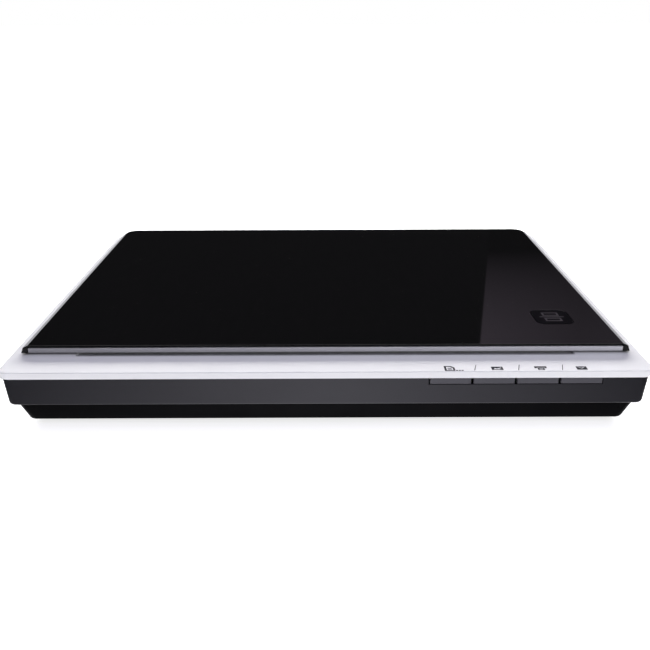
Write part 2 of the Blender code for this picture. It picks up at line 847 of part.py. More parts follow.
def guide_rod():
    bar = rod((ROD_Y, ROD_Z), ROD_RADIUS, -ROD_END, ROD_END, axis="X", sides=24)
    return solid("guide_rod", bar, "steel")


def rod_clips():
    """Snap-on caps that keep the rod's ends down in their saddles."""
    clips = []
    top = ROD_Z + ROD_RADIUS + GAP
    inner_reach = SADDLE_REACH + GAP
    outer_reach = inner_reach + CLIP_WALL
    half = SADDLE_HALF - 2 * GAP
    for x, name in ((-SADDLE_X, "rod_clip_left"), (SADDLE_X, "rod_clip_right")):
        outer = box(
            (x - half, ROD_Y - outer_reach, CLIP_LOW),
            (x + half, ROD_Y + outer_reach, top + CLIP_WALL),
        )
        clip = solid(name, outer, "natural_plastic")
        inner = box(
            (x - half - OVER, ROD_Y - inner_reach, CLIP_LOW - OVER),
            (x + half + OVER, ROD_Y + inner_reach, top),
        )
        cut(clip, inner)
        clips.append(clip)
    return clips


def rack_outline():
    """Teeth along the rack's front edge. A gap between two teeth faces the gear at home."""
    pitch = math.pi * RACK_MODULE
    pitch_line = GEAR_Y + RACK_MODULE * RACK_GEAR_TEETH / 2
    tip, root = pitch_line - 0.75 * RACK_MODULE, pitch_line + 1.15 * RACK_MODULE
    half_tip, half_root = 0.11 * pitch, 0.32 * pitch
    first = math.ceil((RACK_X[0] - GEAR_X) / pitch + 1)
    last = math.floor((RACK_X[1] - GEAR_X) / pitch - 1)
    outline = [(RACK_X[1], RACK_BACK), (RACK_X[0], RACK_BACK), (RACK_X[0], root)]
    for number in range(first, last):
        middle = GEAR_X + (number + 0.5) * pitch
        outline += [
            (middle - half_root, root),
            (middle - half_tip, tip),
            (middle + half_tip, tip),
            (middle + half_root, root),
        ]
    outline.append((RACK_X[1], root))
    return outline


def drive_rack():
    rack = solid("drive_rack", prism(rack_outline(), *RACK_Z), "natural_plastic")
    leg = box(
        (RACK_X[0] + OVER, RACK_LEG_Y[0], BASE_FLOOR + GAP),
        (RACK_X[1] - OVER, RACK_LEG_Y[1], RACK_Z[0] + OVER),
    )
    # The exact solver drops the rack's long toothed cap.
    combine(rack, leg, "UNION", "MANIFOLD")
    return rack


# ------------------------------------------------------------------ gears and motor


def gear_outline(module, teeth, centre, tooth_angle):
    """A spur gear's outline with involute flanks, and a tooth centred on tooth_angle."""
    pitch_radius = module * teeth / 2
    base_radius = pitch_radius * math.cos(math.radians(20))
    tip_radius = pitch_radius + 0.8 * module
    root_radius = pitch_radius - 1.15 * module
    half_at_pitch = 0.40 * math.pi / teeth

    def involute(radius):
        pressure = math.acos(min(1.0, base_radius / radius))
        return math.tan(pressure) - pressure

    def half_angle(radius):
        return half_at_pitch + involute(pitch_radius) - involute(max(radius, base_radius))

    radii = (root_radius, max(base_radius, root_radius + 0.2 * module), pitch_radius, tip_radius)
    if teeth > FINE_TEETH:
        radii = (root_radius, tip_radius)
    outline = []
    for tooth in range(teeth):
        middle = tooth_angle + math.tau * tooth / teeth
        flank = [(radius, half_angle(radius)) for radius in radii]
        rising = [(radius, middle - half) for radius, half in flank]
        falling = [(radius, middle + half) for radius, half in reversed(flank)]
        outline += [
            (centre[0] + radius * math.cos(angle), centre[1] + radius * math.sin(angle))
            for radius, angle in rising + falling
        ]
    return outline


def drive_gear():
    centre = (GEAR_X, GEAR_Y)
    wheel = prism(gear_outline(WHEEL_MODULE, WHEEL_TEETH, centre, math.pi / 2), *WHEEL_Z)
    gear = solid("drive_gear", wheel, "natural_plastic", origin=(*centre, WHEEL_Z[0]))
    small = prism(gear_outline(RACK_MODULE, RACK_GEAR_TEETH, centre, math.pi / 2), *RACK_GEAR_Z)
    add(gear, small)
    bore = rod(centre, AXLE_RADIUS + RUNNING, WHEEL_Z[0] - OVER, RACK_GEAR_Z[1] + OVER, sides=16)
    cut(gear, bore)
    return gear


def motor_centre():
    reach = WHEEL_MODULE * (WHEEL_TEETH + PINION_TEETH) / 2
    return GEAR_X, GEAR_Y - reach


def motor_pinion():
    """The motor's brass pinion, with the end of the rotor's shaft that carries it."""
    centre = motor_centre()
    teeth = prism(gear_outline(WHEEL_MODULE, PINION_TEETH, centre, math.pi / 2), *PINION_Z)
    pinion = solid("motor_pinion", teeth, "brass", origin=(*centre, PINION_Z[0]))
    add(pinion, rod(centre, SHAFT_RADIUS, PINION_Z[0] + 5 * SUNK, SHAFT_TOP, sides=14))
    return pinion


def stepper_motor():
    """The motor: a round can hung under the cradle by its flange."""
    centre = motor_centre()
    low, high = MOTOR_Z
    can = rod(centre, MOTOR_RADIUS, low, high, sides=32)
    soften(can, level_edges(can, low), 0.0006, 2)
    motor = solid("stepper_motor", can, "steel", origin=(*centre, low))
    (x, y), (reach_x, reach_y) = centre, FLANGE_REACH
    flange = slab(
        (x - reach_x, y - reach_y, high - SUNK),
        (x + reach_x, y + reach_y, high + 0.0005),
        0.003,
        3,
    )
    add(motor, flange)
    cut(motor, rod(centre, SHAFT_RADIUS + RUNNING, low - OVER, SHAFT_TOP + 0.0003, sides=14))
    return motor


def gear_axle():
    shaft = rod((GEAR_X, GEAR_Y), AXLE_RADIUS, *AXLE_Z, sides=16)
    return solid("gear_axle", shaft, "steel")


# ------------------------------------------------------------------ scanning carriage


def carriage_cradle():
    """The carriage: a tray that slides on the rod and carries the sensor, motor and gear."""
    low, high = CRADLE_Z
    left, right = HOME_X - CRADLE_X, HOME_X + CRADLE_X
    front, back = BAR_Y[0] - END_GAP - END_WALL, BAR_Y[1] + END_GAP + END_WALL
    floor = box((left, front, low), (right, back, high))
    cradle = solid("carriage_cradle", floor, "frame_plastic", origin=(HOME_X, 0, low))
    end_low, end_x = high - SUNK, 0.006
    add(
        cradle,
        box((HOME_X - end_x, front, end_low), (HOME_X + end_x, front + END_WALL, END_TOP)),
        box((HOME_X - end_x, back - END_WALL, end_low), (HOME_X + end_x, back, END_TOP)),
    )
    joint = low + SUNK
    wells = [rod((HOME_X, y), 0.0040, WELL_LOW, joint) for y in SPRING_Y]
    bush = box((left, ROD_Y - BUSH_REACH, BUSH_LOW), (right, ROD_Y + BUSH_REACH, joint))
    axle_boss = rod((GEAR_X, GEAR_Y), 0.0030, RACK_GEAR_Z[1] + 0.0003, joint, sides=16)
    socket = box(
        (HOME_X - 0.005, RIBBON_Y[0] - SOCKET_MARGIN, 0.0158),
        (right - SUNK, RIBBON_Y[1] + SOCKET_MARGIN, joint),
    )
    add(cradle, *wells, bush, axle_boss, socket)
    spring_holes = [rod((HOME_X, y), 0.0031, WELL_LOW + OVER, high + OVER) for y in SPRING_Y]
    ends = (left - OVER, right + OVER)
    bore = rod((ROD_Y, ROD_Z), ROD_RADIUS + RUNNING, *ends, axis="X", sides=24)
    axle_hole = rod((GEAR_X, GEAR_Y), AXLE_RADIUS + 0.00002, 0.0150, AXLE_Z[1] + GAP, sides=16)
    ribbon_slot = box(
        (right - 0.003, RIBBON_Y[0] - GAP, RIBBON_CRADLE_Z - SLOT_HALF),
        (right + OVER, RIBBON_Y[1] + GAP, RIBBON_CRADLE_Z + SLOT_HALF),
    )
    cut(cradle, *spring_holes, bore, axle_hole, ribbon_slot)
    return cradle


def sensor_housing():
    """The contact image sensor's channel, open on top for its lens strip and lamp."""
    low, high = BAR_Z
    front, back = BAR_Y
    block = box((HOME_X - BAR_X, front, low), (HOME_X + BAR_X, back, high))
    soften(block, level_edges(block, high), 0.0006, 2)
    housing = solid("sensor_housing", block, "frame_plastic")
    lens_slot = box(
        (HOME_X - LENS_HALF - GAP, front + SLOT_END, BOARD_SPACE_TOP - 0.0006),
        (HOME_X + LENS_HALF + GAP, back - SLOT_END, high + OVER),
    )
    lamp_slot = box(
        (HOME_X + LAMP_X[0] - GAP, front + SLOT_END, LAMP_Z[0] - GAP),
        (HOME_X + LAMP_X[1] + GAP, back - SLOT_END, high + OVER),
    )
    cut(housing, lens_slot, lamp_slot)
    board_space = box(
        (HOME_X - BOARD_HALF - 0.0005, front + 0.002, low - OVER),
        (HOME_X + BOARD_HALF + 0.0005, back - 0.002, BOARD_SPACE_TOP),
    )
    cut(housing, board_space)
    pegs = [rod((HOME_X, y), 0.0020, low - 0.0012, BOARD_SPACE_TOP + SUNK, sides=14) for y in SPRING_Y]
    add(housing, *pegs)
    return housing


def rod_lens_array():
    end = SLOT_END + 0.0005
    strip = box(
        (HOME_X - LENS_HALF, BAR_Y[0] + end, 0.0240),
        (HOME_X + LENS_HALF, BAR_Y[1] - end, BAR_Z[1] - 0.0003),
    )
    return solid("rod_lens_array", strip, "glass")


def light_guide():
    """The clear bar that spreads the lamp's light along the whole width."""
    end = SLOT_END + 0.0005
    bar = box(
        (HOME_X + LAMP_X[0], BAR_Y[0] + end, LAMP_Z[0]),
        (HOME_X + LAMP_X[1], BAR_Y[1] - end, LAMP_Z[1]),
    )
    soften(bar, level_edges(bar, LAMP_Z[1]), 0.0008, 2)
    return solid("light_guide", bar, "glass")


def sensor_board():
    """The sensor strip's circuit board, which ends short of the two spring pegs."""
    end, top = 0.0075, BOARD_SPACE_TOP - GAP
    board = box(
        (HOME_X - BOARD_HALF, BAR_Y[0] + end, top - 0.0012),
        (HOME_X + BOARD_HALF, BAR_Y[1] - end, top),
    )
    return solid("sensor_board", board, "circuit_board")


def glass_gliders():
    """Smooth pads at the sensor's ends, which hold it a fixed distance under the glass."""
    gliders = []
    low, high = BAR_Z[1] + 0.0001, GLASS_LOW[2] - GAP
    half, depth = 0.006, 0.0026
    for name, start in (("glass_glider_front", BAR_Y[0]), ("glass_glider_rear", BAR_Y[1] - depth)):
        pad = box((HOME_X - half, start, low), (HOME_X + half, start + depth, high))
        soften(pad, upright_edges(pad), 0.0010, 2)
        gliders.append(solid(name, pad, "natural_plastic"))
    return gliders


def sensor_springs():
    """Coil springs in the cradle's wells, which press the sensor up to the glass."""
    springs = []
    coil_turns, per_turn, coil_radius, wire = 5, 8, 0.0026, 0.00025
    low, high = 0.0116, 0.0202
    count = coil_turns * per_turn
    for name, y in zip(("sensor_spring_front", "sensor_spring_rear"), SPRING_Y):
        curve = bpy.data.curves.new(name, "CURVE")
        curve.dimensions = "3D"
        curve.bevel_depth = wire
        curve.bevel_resolution = 1
        curve.use_fill_caps = True
        spline = curve.splines.new("POLY")
        spline.points.add(count)
        for step, point in enumerate(spline.points):
            angle = math.tau * step / per_turn
            height = low + (high - low) * step / count
            across = coil_radius * math.cos(angle)
            along = coil_radius * math.sin(angle)
            point.co = (HOME_X + across, y + along, height, 1.0)
        springs.append(solid(name, curve_shape(curve, Matrix.Identity(4)), "steel"))
    return springs


# ------------------------------------------------------------------ lid


def lid_cover():
    """The lid's shell: sides that flare a little downwards, and a top with bevelled edges."""
    low = (-LID_X, LID_FRONT, LID_LOW)
    high = (LID_X, LID_BACK, LID_HIGH - LID_BEVEL_DROP)
    shell = box(low, high)
    for vert in shell.verts:
        if vert.co.z < LID_LOW + 1e-6:
            vert.co.x += math.copysign(LID_DRAFT, vert.co.x)
    soften(shell, [e for e in upright_edges(shell) if e.verts[0].co.y > 0], LID_BACK_CORNER, 6)
    front = [e for e in upright_edges(shell) if e.verts[0].co.y < LID_FRONT + 1e-6]
    soften(shell, front, LID_FRONT_CORNER, 2)
    top = max(shell.faces, key=lambda face: face.calc_center_median().z)
    raised = bmesh.ops.extrude_face_region(shell, geom=[top])["geom"]
    bmesh.ops.delete(shell, geom=[top], context="FACES_ONLY")
    middle = (LID_FRONT + LID_BACK) / 2
    for vert in [item for item in raised if isinstance(item, bmesh.types.BMVert)]:
        vert.co.z += LID_BEVEL_DROP
        vert.co.x *= (LID_X - LID_SIDE_BEVEL) / LID_X
        half_depth = (LID_BACK - LID_FRONT) / 2
        vert.co.y = middle + (vert.co.y - middle) * (half_depth - LID_FRONT_BEVEL) / half_depth
    bmesh.ops.recalc_face_normals(shell, faces=shell.faces)
    cover = solid("lid_cover", shell, "lid_plastic", origin=(0, HINGE_Y, HINGE_Z))
    inner = slab(
        (-LID_X + LID_WALL, LID_FRONT + LID_WALL, LID_LOW - OVER),
        (LID_X - LID_WALL, LID_BACK - LID_WALL, LID_SKIN_LOW),
        LID_INNER_CORNER,
    )
    cut(cover, inner)
    trim_notch = box(
        (-TRIM_X - GAP, LID_FRONT - OVER, LID_LOW - OVER),
        (TRIM_X + GAP, LID_FRONT + TRIM_DEPTH + GAP, TRIM_NOTCH_TOP),
    )
    well = badge_corners(GAP, BADGE_HEIGHTS[0] - SUNK, LID_HIGH + OVER)
    badge_well = slab(*well, BADGE_CORNER + GAP, 5)
    half_notch = POST_X + SOCKET_WALL + 8 * GAP
    hinge_notches = [
        box(
            (side * HINGE_X - half_notch, LID_BACK - 2 * LID_WALL, LID_LOW - OVER),
            (side * HINGE_X + half_notch, LID_BACK + OVER, LID_SKIN_LOW),
        )
        for side in (-1, 1)
    ]
    cut(cover, trim_notch, badge_well, *hinge_notches)
    return cover


def badge_corners(margin, low, high):
    x, y = BADGE_CENTRE
    reach = BADGE_SIDE / 2 + margin
    return (x - reach, y - reach, low), (x + reach, y + reach, high)


def lid_badge():
    plate = slab(*badge_corners(0.0, *BADGE_HEIGHTS), BADGE_CORNER, 5)
    soften(plate, level_edges(plate, BADGE_HEIGHTS[1]), 0.0001, 1)
    return solid("lid_badge", plate, "lid_plastic")


def lid_front_trim():
    low, high = TRIM_HEIGHTS
    strip = box((-TRIM_X, LID_FRONT, low), (TRIM_X, LID_FRONT + TRIM_DEPTH, high))
    front = [e for e in strip.edges if all(v.co.y < LID_FRONT + 1e-6 for v in e.verts)]
    soften(strip, front, 0.0003, 2)
    return solid("lid_front_trim", strip, "trim_plastic")


def lid_frame():
    """The inner moulding of the lid: it carries the pad and the hinge lugs."""
    low, high = FRAME_LOW, LID_SKIN_LOW - GAP
    clearance = LID_WALL + 0.0003
    plate = slab(
        (-LID_X + clearance, LID_FRONT + TRIM_DEPTH + 2 * GAP, low),
        (LID_X - clearance, LID_BACK - clearance, high),
        FRAME_CORNER,
    )
    frame = solid("lid_frame", plate, "frame_plastic", origin=(0, HINGE_Y, HINGE_Z))
    recess = box(
        (PAD_LOW[0] - PAD_MARGIN, PAD_LOW[1] - PAD_MARGIN, low - OVER),
        (PAD_HIGH[0] + PAD_MARGIN, PAD_HIGH[1] + PAD_MARGIN, low + PAD_RECESS),
    )
    half_gap = POST_X + ARM_MARGIN
    arm_gaps = [
        box(
            (side * HINGE_X - half_gap, POST_FRONT - 2 * ARM_MARGIN, low - OVER),
            (side * HINGE_X + half_gap, LID_BACK, high + OVER),
        )
        for side in (-1, 1)
    ]
    cut(frame, recess, *arm_gaps)
    lugs, pin_holes = [], []
    for centre in (-HINGE_X, HINGE_X):
        for side in (-1, 1):
            ends = sorted((centre + side * half_gap, centre + side * (half_gap + LUG_WIDTH)))
            lugs.append(hinge_rod(LUG_RADIUS, *ends, sides=20))
        reach = half_gap + LUG_WIDTH + OVER
        pin_holes.append(hinge_rod(HINGE_PIN + RUNNING, centre - reach, centre + reach))
    add(frame, *lugs)
    cut(frame, *pin_holes)
    return frame


def hinge_rod(radius, low, high, sides=16):
    """A cylinder on the lid's hinge axis."""
    return rod((HINGE_Y, HINGE_Z), radius, low, high, axis="X", sides=sides)


def pad_foam():
    block = slab((*PAD_LOW, PAD_JOIN), (*PAD_HIGH, FRAME_LOW + PAD_RECESS - GAP), PAD_CORNER, 2)
    return solid("pad_foam", block, "foam")


def pad_sheet():
    sheet = slab((*PAD_LOW, GLASS_HIGH[2] + GAP), (*PAD_HIGH, PAD_JOIN - GAP), PAD_CORNER, 2)
    return solid("pad_sheet", sheet, "pad_sheet")


def lid_bumpers():
    """Rubber buttons under the lid's front corners, which meet the cover when it closes."""
    profile = [(0.0, 0.0010), (0.0030, 0.0010), (0.0030, 0.0004), (0.0022, 0.0), (0.0, 0.0)]
    bottom = COVER_HIGH + 0.0001
    x, y = BUMPER_PLACE
    places = (("lid_bumper_left", -x), ("lid_bumper_right", x))
    return [turned(name, profile, "rubber", (place, y, bottom), 20) for name, place in places]


def hinge_arm(side, name):
    """A post that can rise in its socket, with the hinge's barrel along its top."""
    centre = side * HINGE_X
    low_x, high_x = centre - POST_X, centre + POST_X
    post = box((low_x, POST_FRONT, POST_LOW), (high_x, POST_BACK, HINGE_Z))
    arm = solid(name, post, "frame_plastic", origin=(centre, HINGE_Y, HINGE_Z))
    add(arm, hinge_rod(HINGE_BARREL, low_x, high_x, sides=20))
    cut(arm, hinge_rod(HINGE_PIN + RUNNING, low_x - OVER, high_x + OVER))
    return arm


def hinge_pin(side, name):
    centre = side * HINGE_X
    reach = POST_X + ARM_MARGIN + LUG_WIDTH - GAP
    return solid(name, hinge_rod(HINGE_PIN, centre - reach, centre + reach), "steel")


# ------------------------------------------------------------------ assembly


def build_casing():
    lower_case()
    feet()
    case_screws()
    case_band()
    top_cover()
    platen_glass()
    glass_seal()
    calibration_strip()
    button_board()
    main_board()
    usb_shell()
    usb_insert()
    ribbon_cable()
    guide_rod()
    rod_clips()
    drive_rack()


def build_buttons():
    for index, name in enumerate(BUTTON_NAMES):
        key = button(index)
        hang(f"{name}_slide", key.location.copy(), [key])


def build_lid():
    axis = (0.0, HINGE_Y, HINGE_Z)
    lid = [
        lid_cover(),
        lid_badge(),
        lid_front_trim(),
        lid_frame(),
        pad_foam(),
        pad_sheet(),
        *lid_bumpers(),
        hinge_pin(-1, "hinge_pin_left"),
        hinge_pin(1, "hinge_pin_right"),
    ]
    hang("lid_hinge", axis, lid)
    hang("lid_lift", axis, [hinge_arm(-1, "hinge_arm_left"), hinge_arm(1, "hinge_arm_right")])


def build_carriage():
    riding = [
        carriage_cradle(),
        sensor_housing(),
        rod_lens_array(),
        light_guide(),
        sensor_board(),
        *glass_gliders(),
        *sensor_springs(),
        stepper_motor(),
        gear_axle(),
    ]
    hang("carriage_slide", (HOME_X, ROD_Y, ROD_Z), riding)
    hang("drive_gear_spin", (GEAR_X, GEAR_Y, WHEEL_Z[0]), [drive_gear()])
    hang("motor_pinion_spin", (*motor_centre(), PINION_Z[0]), [motor_pinion()])


clear_scene()
PARTS = new_collection("flatbed_scanner")
CUTTERS = new_collection("cutters")
build_casing()
build_buttons()
build_lid()
build_carriage()
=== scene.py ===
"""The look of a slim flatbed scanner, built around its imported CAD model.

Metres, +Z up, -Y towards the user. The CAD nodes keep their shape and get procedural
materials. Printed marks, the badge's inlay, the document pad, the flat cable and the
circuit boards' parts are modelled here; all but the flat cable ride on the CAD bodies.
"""

import math

import bmesh
import bpy
from mathutils import Matrix, Vector


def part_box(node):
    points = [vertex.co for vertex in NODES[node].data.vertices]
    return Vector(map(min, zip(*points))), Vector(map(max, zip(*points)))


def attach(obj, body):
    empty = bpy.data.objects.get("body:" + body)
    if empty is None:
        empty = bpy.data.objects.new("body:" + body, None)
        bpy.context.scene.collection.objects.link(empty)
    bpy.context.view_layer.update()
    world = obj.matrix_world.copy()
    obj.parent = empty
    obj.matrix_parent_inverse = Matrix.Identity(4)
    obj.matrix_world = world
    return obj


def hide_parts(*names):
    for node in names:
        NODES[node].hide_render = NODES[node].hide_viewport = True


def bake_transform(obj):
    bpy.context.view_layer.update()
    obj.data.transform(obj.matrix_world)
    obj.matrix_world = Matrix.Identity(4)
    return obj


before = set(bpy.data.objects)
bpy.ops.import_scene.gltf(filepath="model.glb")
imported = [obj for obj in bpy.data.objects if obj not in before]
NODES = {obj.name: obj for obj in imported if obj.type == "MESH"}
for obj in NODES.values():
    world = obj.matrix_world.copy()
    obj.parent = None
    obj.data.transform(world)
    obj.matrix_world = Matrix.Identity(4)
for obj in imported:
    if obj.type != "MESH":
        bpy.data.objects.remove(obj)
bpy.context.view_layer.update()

# Camera: where it stands, how far it looks down, and its lens.
CAMERA_PLACE = (0.0002, -0.500, 0.2224)
CAMERA_PITCH = math.radians(23.1)
CAMERA_ROLL = math.radians(0.24)
CAMERA_YAW = math.radians(0.05)
CAMERA_LENS = 40.9
SENSOR_WIDTH = 36.0

# Studio.
FLOOR_REACH = 12.0
FLOOR_COLOUR = (0.90, 0.90, 0.90)
DOME_LOW = math.radians(27)
DOME_HIGH = math.radians(48)
DOME_DARK = 0.004
DOME_BRIGHT = 0.78
BACKDROP_BRIGHT = 1.0
FLOOR_GLOW = 0.75
DOME_COLOUR = (0.955, 0.945, 1.12)
WHITE = (1.0, 1.0, 1.0)

# Soft boxes: where they stand, what they face, how wide and deep they are, and their power.
REAR_PLACE = (0.0, 1.70, 0.76)
REAR_TARGET = (0.0, 0.0, 0.0)
REAR_SIZE = (3.2, 0.6)
REAR_POWER = 95.0
REAR_COLOUR = (1.0, 0.99, 0.94)
FILL_PLACE = (0.9, -1.6, 0.35)
FILL_TARGET = (0.0, 0.0, 0.03)
FILL_SIZE = (1.0, 0.5)
FILL_POWER = 6.2

# Cards that only mirrors see. A fade is where a card's brightness starts and stops changing.
SIDE_CARD_X = (0.69, 3.6)
SIDE_CARD_Y = 2.5
SIDE_CARD_Z = (0.3, 1.75)
SIDE_CARD_BRIGHT = 0.28
SIDE_CARD_RISE = (0.81, 1.25)
SIDE_CARD_FADE = (0.69, 1.13)
SIDE_CARD_RIGHT = 0.53
SIDE_CARD_COLOUR = (1.0, 0.82, 1.04)
FLOOR_CARD_LIFT = 0.0004
FRONT_CARD_HALF = 0.9
FRONT_CARD_Y = (-0.9, -0.128)
FRONT_CARD_BRIGHT = 1.35
FRONT_CARD_DIM = 0.02
FRONT_CARD_FADE = (0.02, 0.24)
FRONT_CARD_COLOUR = (0.96, 0.94, 1.02)
FLAG_X = (0.20, 0.90)
FLAG_Y = (-0.127, 0.30)
FLAG_BRIGHT = 0.02
TOP_CARD_HALF = (1.5, 0.35)
TOP_CARD_HEIGHT = 2.0
TOP_CARD_BRIGHT = 7.0
TOP_CARD_DIM = 0.6 * TOP_CARD_BRIGHT
TOP_CARD_FADE = (0.5, 1.5)
TOP_CARD_COLOUR = (1.0, 0.99, 1.0)

# How much darker the spots on a metal are than the rest of it.
TARNISH = 0.12

# Smoothing of the CAD meshes: edges bent by more than an angle are sharp, and are eased.
WELD_GAP = 0.000001
SHARP_ANGLE = math.radians(32)
LID_SHARP_ANGLE = math.radians(20)
USUAL_EDGE = 0.00010
EDGE_WIDTHS = {
    "lid_cover": 0.00025,
    "top_cover": 0.00020,
    "case_band": 0.00020,
    "lower_case": 0.00025,
    "lid_front_trim": 0.00012,
    "ribbon_cable": 0.0,
    "sensor_spring_front": 0.0,
    "sensor_spring_rear": 0.0,
    "drive_rack": 0.00005,
    "drive_gear": 0.00004,
    "motor_pinion": 0.00004,
}

# Heights of the surfaces that marks are printed on, and how thick the print stands.
COVER_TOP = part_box("top_cover")[1].z
BADGE_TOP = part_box("lid_badge")[1].z
PRINT = 0.00004

# Pictograms over the buttons, and the thin leaning lines between them.
ICON_Y = -0.1311
ICON_SHIFTS = {"document": 0.0023, "photo": 0.0016, "copy": 0.0016, "send": 0.0000}
SEPARATOR_SHIFT = 0.0008
SEPARATOR_Y = (-0.1336, -0.1268)
SEPARATOR_LEAN = 0.0019
SEPARATOR_WIDTH = 0.00040

# Paper size ticks, counted from the rear right corner of the platen's opening.
OPENING_CORNER = (0.150, 0.114)
OPENING_FRONT = -0.104
TICK_GAP = 0.0012
TICK_STEP = 0.010
TICK_HALF = 0.00015
TICK_LONG = 0.0034
TICK_SHORT = 0.0018
LONG_TICK_EVERY = 5
REAR_TICKS = 30
REAR_TICK_START = 0.0015
SIDE_TICKS = 22
SIDE_TICK_START = 0.0035
ARROW_GAP = 0.0020

# Document pad.
PAD_INSET = 0.0008
FOAM_EDGE = 0.0012
FILM_EDGE = 0.00018
PAD_SMOOTH = math.radians(50)

# Flat cable: RIBBON_START is a place along X on its run over the floor.
RIBBON_START = -0.002
RIBBON_HALF = 0.00008
RIBBON_STEP = 0.0015
RIBBON_SMOOTH = math.radians(40)
RIBBON_SOCKET_Z = 0.01005
TENSION = 0.5

# Main board: the top of its panel, and the (x, y) places of the parts on it.
BOARD_TOP = 0.0088
BOARD_EDGE = 0.0002
SCANNER_CHIP = {"centre": (0.1245, 0.1065), "half": (0.0055, 0.0055), "legs": 10}
MEMORY_CHIP = {"centre": (0.142, 0.092), "half": (0.0032, 0.0052), "legs": 7}
CHIP_LIFT = 0.0001
CHIP_HEIGHT = 0.0011
CHIP_EDGE = 0.00012
LEG_REACH = 0.0008
LEG_HALF = 0.0001
LEG_HEIGHT = 0.0004
LEG_SPAN = 0.92
SOCKET_INSET = 0.001
SOCKET_DEPTH = 0.005
SOCKET_MARGIN = 0.002
SOCKET_TOP = 0.0096
SOCKET_EDGE = 0.0001
SOCKET_WALL = 0.0032
SOCKET_WALL_TOP = 0.0109
LATCH_Z = (0.0103, 0.0111)
LATCH_DEPTH = 0.0030
LATCH_EDGE = 0.00015
CAPACITOR_HALF = 0.0011
CAPACITOR_PLACES = [
    *((0.112 + 0.0034 * i, 0.0785) for i in range(9)),
    *((0.1145, 0.089 + 0.0034 * i) for i in range(4)),
    (0.134, 0.1035),
    (0.134, 0.1075),
    (0.134, 0.1115),
    (0.1505, 0.109),
]
RESISTOR_HALF = 0.0008
RESISTOR_PLACES = [
    *((0.108 + 0.0040 * i, 0.0725) for i in range(12)),
    *((0.1385 + 0.0036 * i, 0.1022) for i in range(4)),
]
PART_BODY = 0.62
PART_WIDTH = 0.5
PART_HEIGHT = 0.0006
PART_END_HEIGHT = 0.00058


# ------------------------------------------------------------------ node helpers


def new_material(name):
    """A material with its node tree and its Principled shader."""
    material = bpy.data.materials.new(name)
    material.use_nodes = True
    tree = material.node_tree
    return material, tree, tree.nodes["Principled BSDF"]


def join(tree, output, socket):
    tree.links.new(output, socket)


def stretched(tree, scale):
    """Object coordinates multiplied by a scale for each axis."""
    place = tree.nodes.new("ShaderNodeTexCoord")
    mapping = tree.nodes.new("ShaderNodeMapping")
    mapping.inputs["Scale"].default_value = scale
    join(tree, place.outputs["Object"], mapping.inputs["Vector"])
    return mapping.outputs["Vector"]


def noise(tree, scale, detail=3.0, stretch=(1.0, 1.0, 1.0)):
    texture = tree.nodes.new("ShaderNodeTexNoise")
    texture.inputs["Scale"].default_value = scale
    texture.inputs["Detail"].default_value = detail
    join(tree, stretched(tree, stretch), texture.inputs["Vector"])
    return texture.outputs["Fac"]


def spread(tree, value, low, high, start=0.3, end=0.7):
    """A noise value turned into a range of another value."""
    scaled = tree.nodes.new("ShaderNodeMapRange")
    scaled.inputs["From Min"].default_value = start
    scaled.inputs["From Max"].default_value = end
    scaled.inputs["To Min"].default_value = low
    scaled.inputs["To Max"].default_value = high
    join(tree, value, scaled.inputs["Value"])
    return scaled.outputs["Result"]


def blend_colours(tree, factor, first, second):
    """A mix of two colours. Each is a colour or another node's output."""
    mix = tree.nodes.new("ShaderNodeMix")
    mix.data_type = "RGBA"
    join(tree, factor, mix.inputs["Factor"])
    for key, colour in (("A", first), ("B", second)):
        socket = [i for i in mix.inputs if i.name == key and i.type == "RGBA"][0]
        if isinstance(colour, bpy.types.NodeSocket):
            join(tree, colour, socket)
        else:
            socket.default_value = (*colour, 1.0)
    return [o for o in mix.outputs if o.type == "RGBA"][0]


def place_axes(tree):
    """The object coordinates, as three separate outputs."""
    place = tree.nodes.new("ShaderNodeTexCoord")
    split = tree.nodes.new("ShaderNodeSeparateXYZ")
    join(tree, place.outputs["Object"], split.inputs["Vector"])
    return split.outputs


def calculate(tree, operation, first, second=None):
    """A Math node on outputs or plain numbers."""
    node = tree.nodes.new("ShaderNodeMath")
    node.operation = operation
    for socket, value in zip(node.inputs, (first, second)):
        if isinstance(value, bpy.types.NodeSocket):
            join(tree, value, socket)
        elif value is not None:
            socket.default_value = value
    return node.outputs["Value"]


def raise_bump(tree, shader, heights, strength):
    """Bumps on a shader from (height output, depth in metres) pairs, laid over each other."""
    normal = None
    for height, depth in heights:
        bump = tree.nodes.new("ShaderNodeBump")
        bump.inputs["Strength"].default_value = strength
        bump.inputs["Distance"].default_value = depth
        join(tree, height, bump.inputs["Height"])
        if normal:
            join(tree, normal, bump.inputs["Normal"])
        normal = bump.outputs["Normal"]
    join(tree, normal, shader.inputs["Normal"])


def shade(colour, factor):
    return tuple(min(1.0, channel * factor) for channel in colour)


# ------------------------------------------------------------------ materials


def plastic(name, colour, roughness, grain=0.00035, depth=0.00001, mottle=0.05, specular=0.5):
    """Moulded plastic: a fine spark-eroded grain, faint flow mottling and uneven gloss."""
    material, tree, shader = new_material(name)
    cloudy = noise(tree, 18.0, 4.0)
    tone = blend_colours(
        tree, spread(tree, cloudy, 0.0, 1.0), shade(colour, 1 - mottle), shade(colour, 1 + mottle)
    )
    join(tree, tone, shader.inputs["Base Color"])
    fine = noise(tree, 1 / grain, 2.0)
    worn = noise(tree, 60.0, 5.0)
    join(tree, spread(tree, worn, roughness * 0.85, roughness * 1.15), shader.inputs["Roughness"])
    shader.inputs["Specular IOR Level"].default_value = specular
    raise_bump(tree, shader, [(fine, depth)], 0.5)
    return material


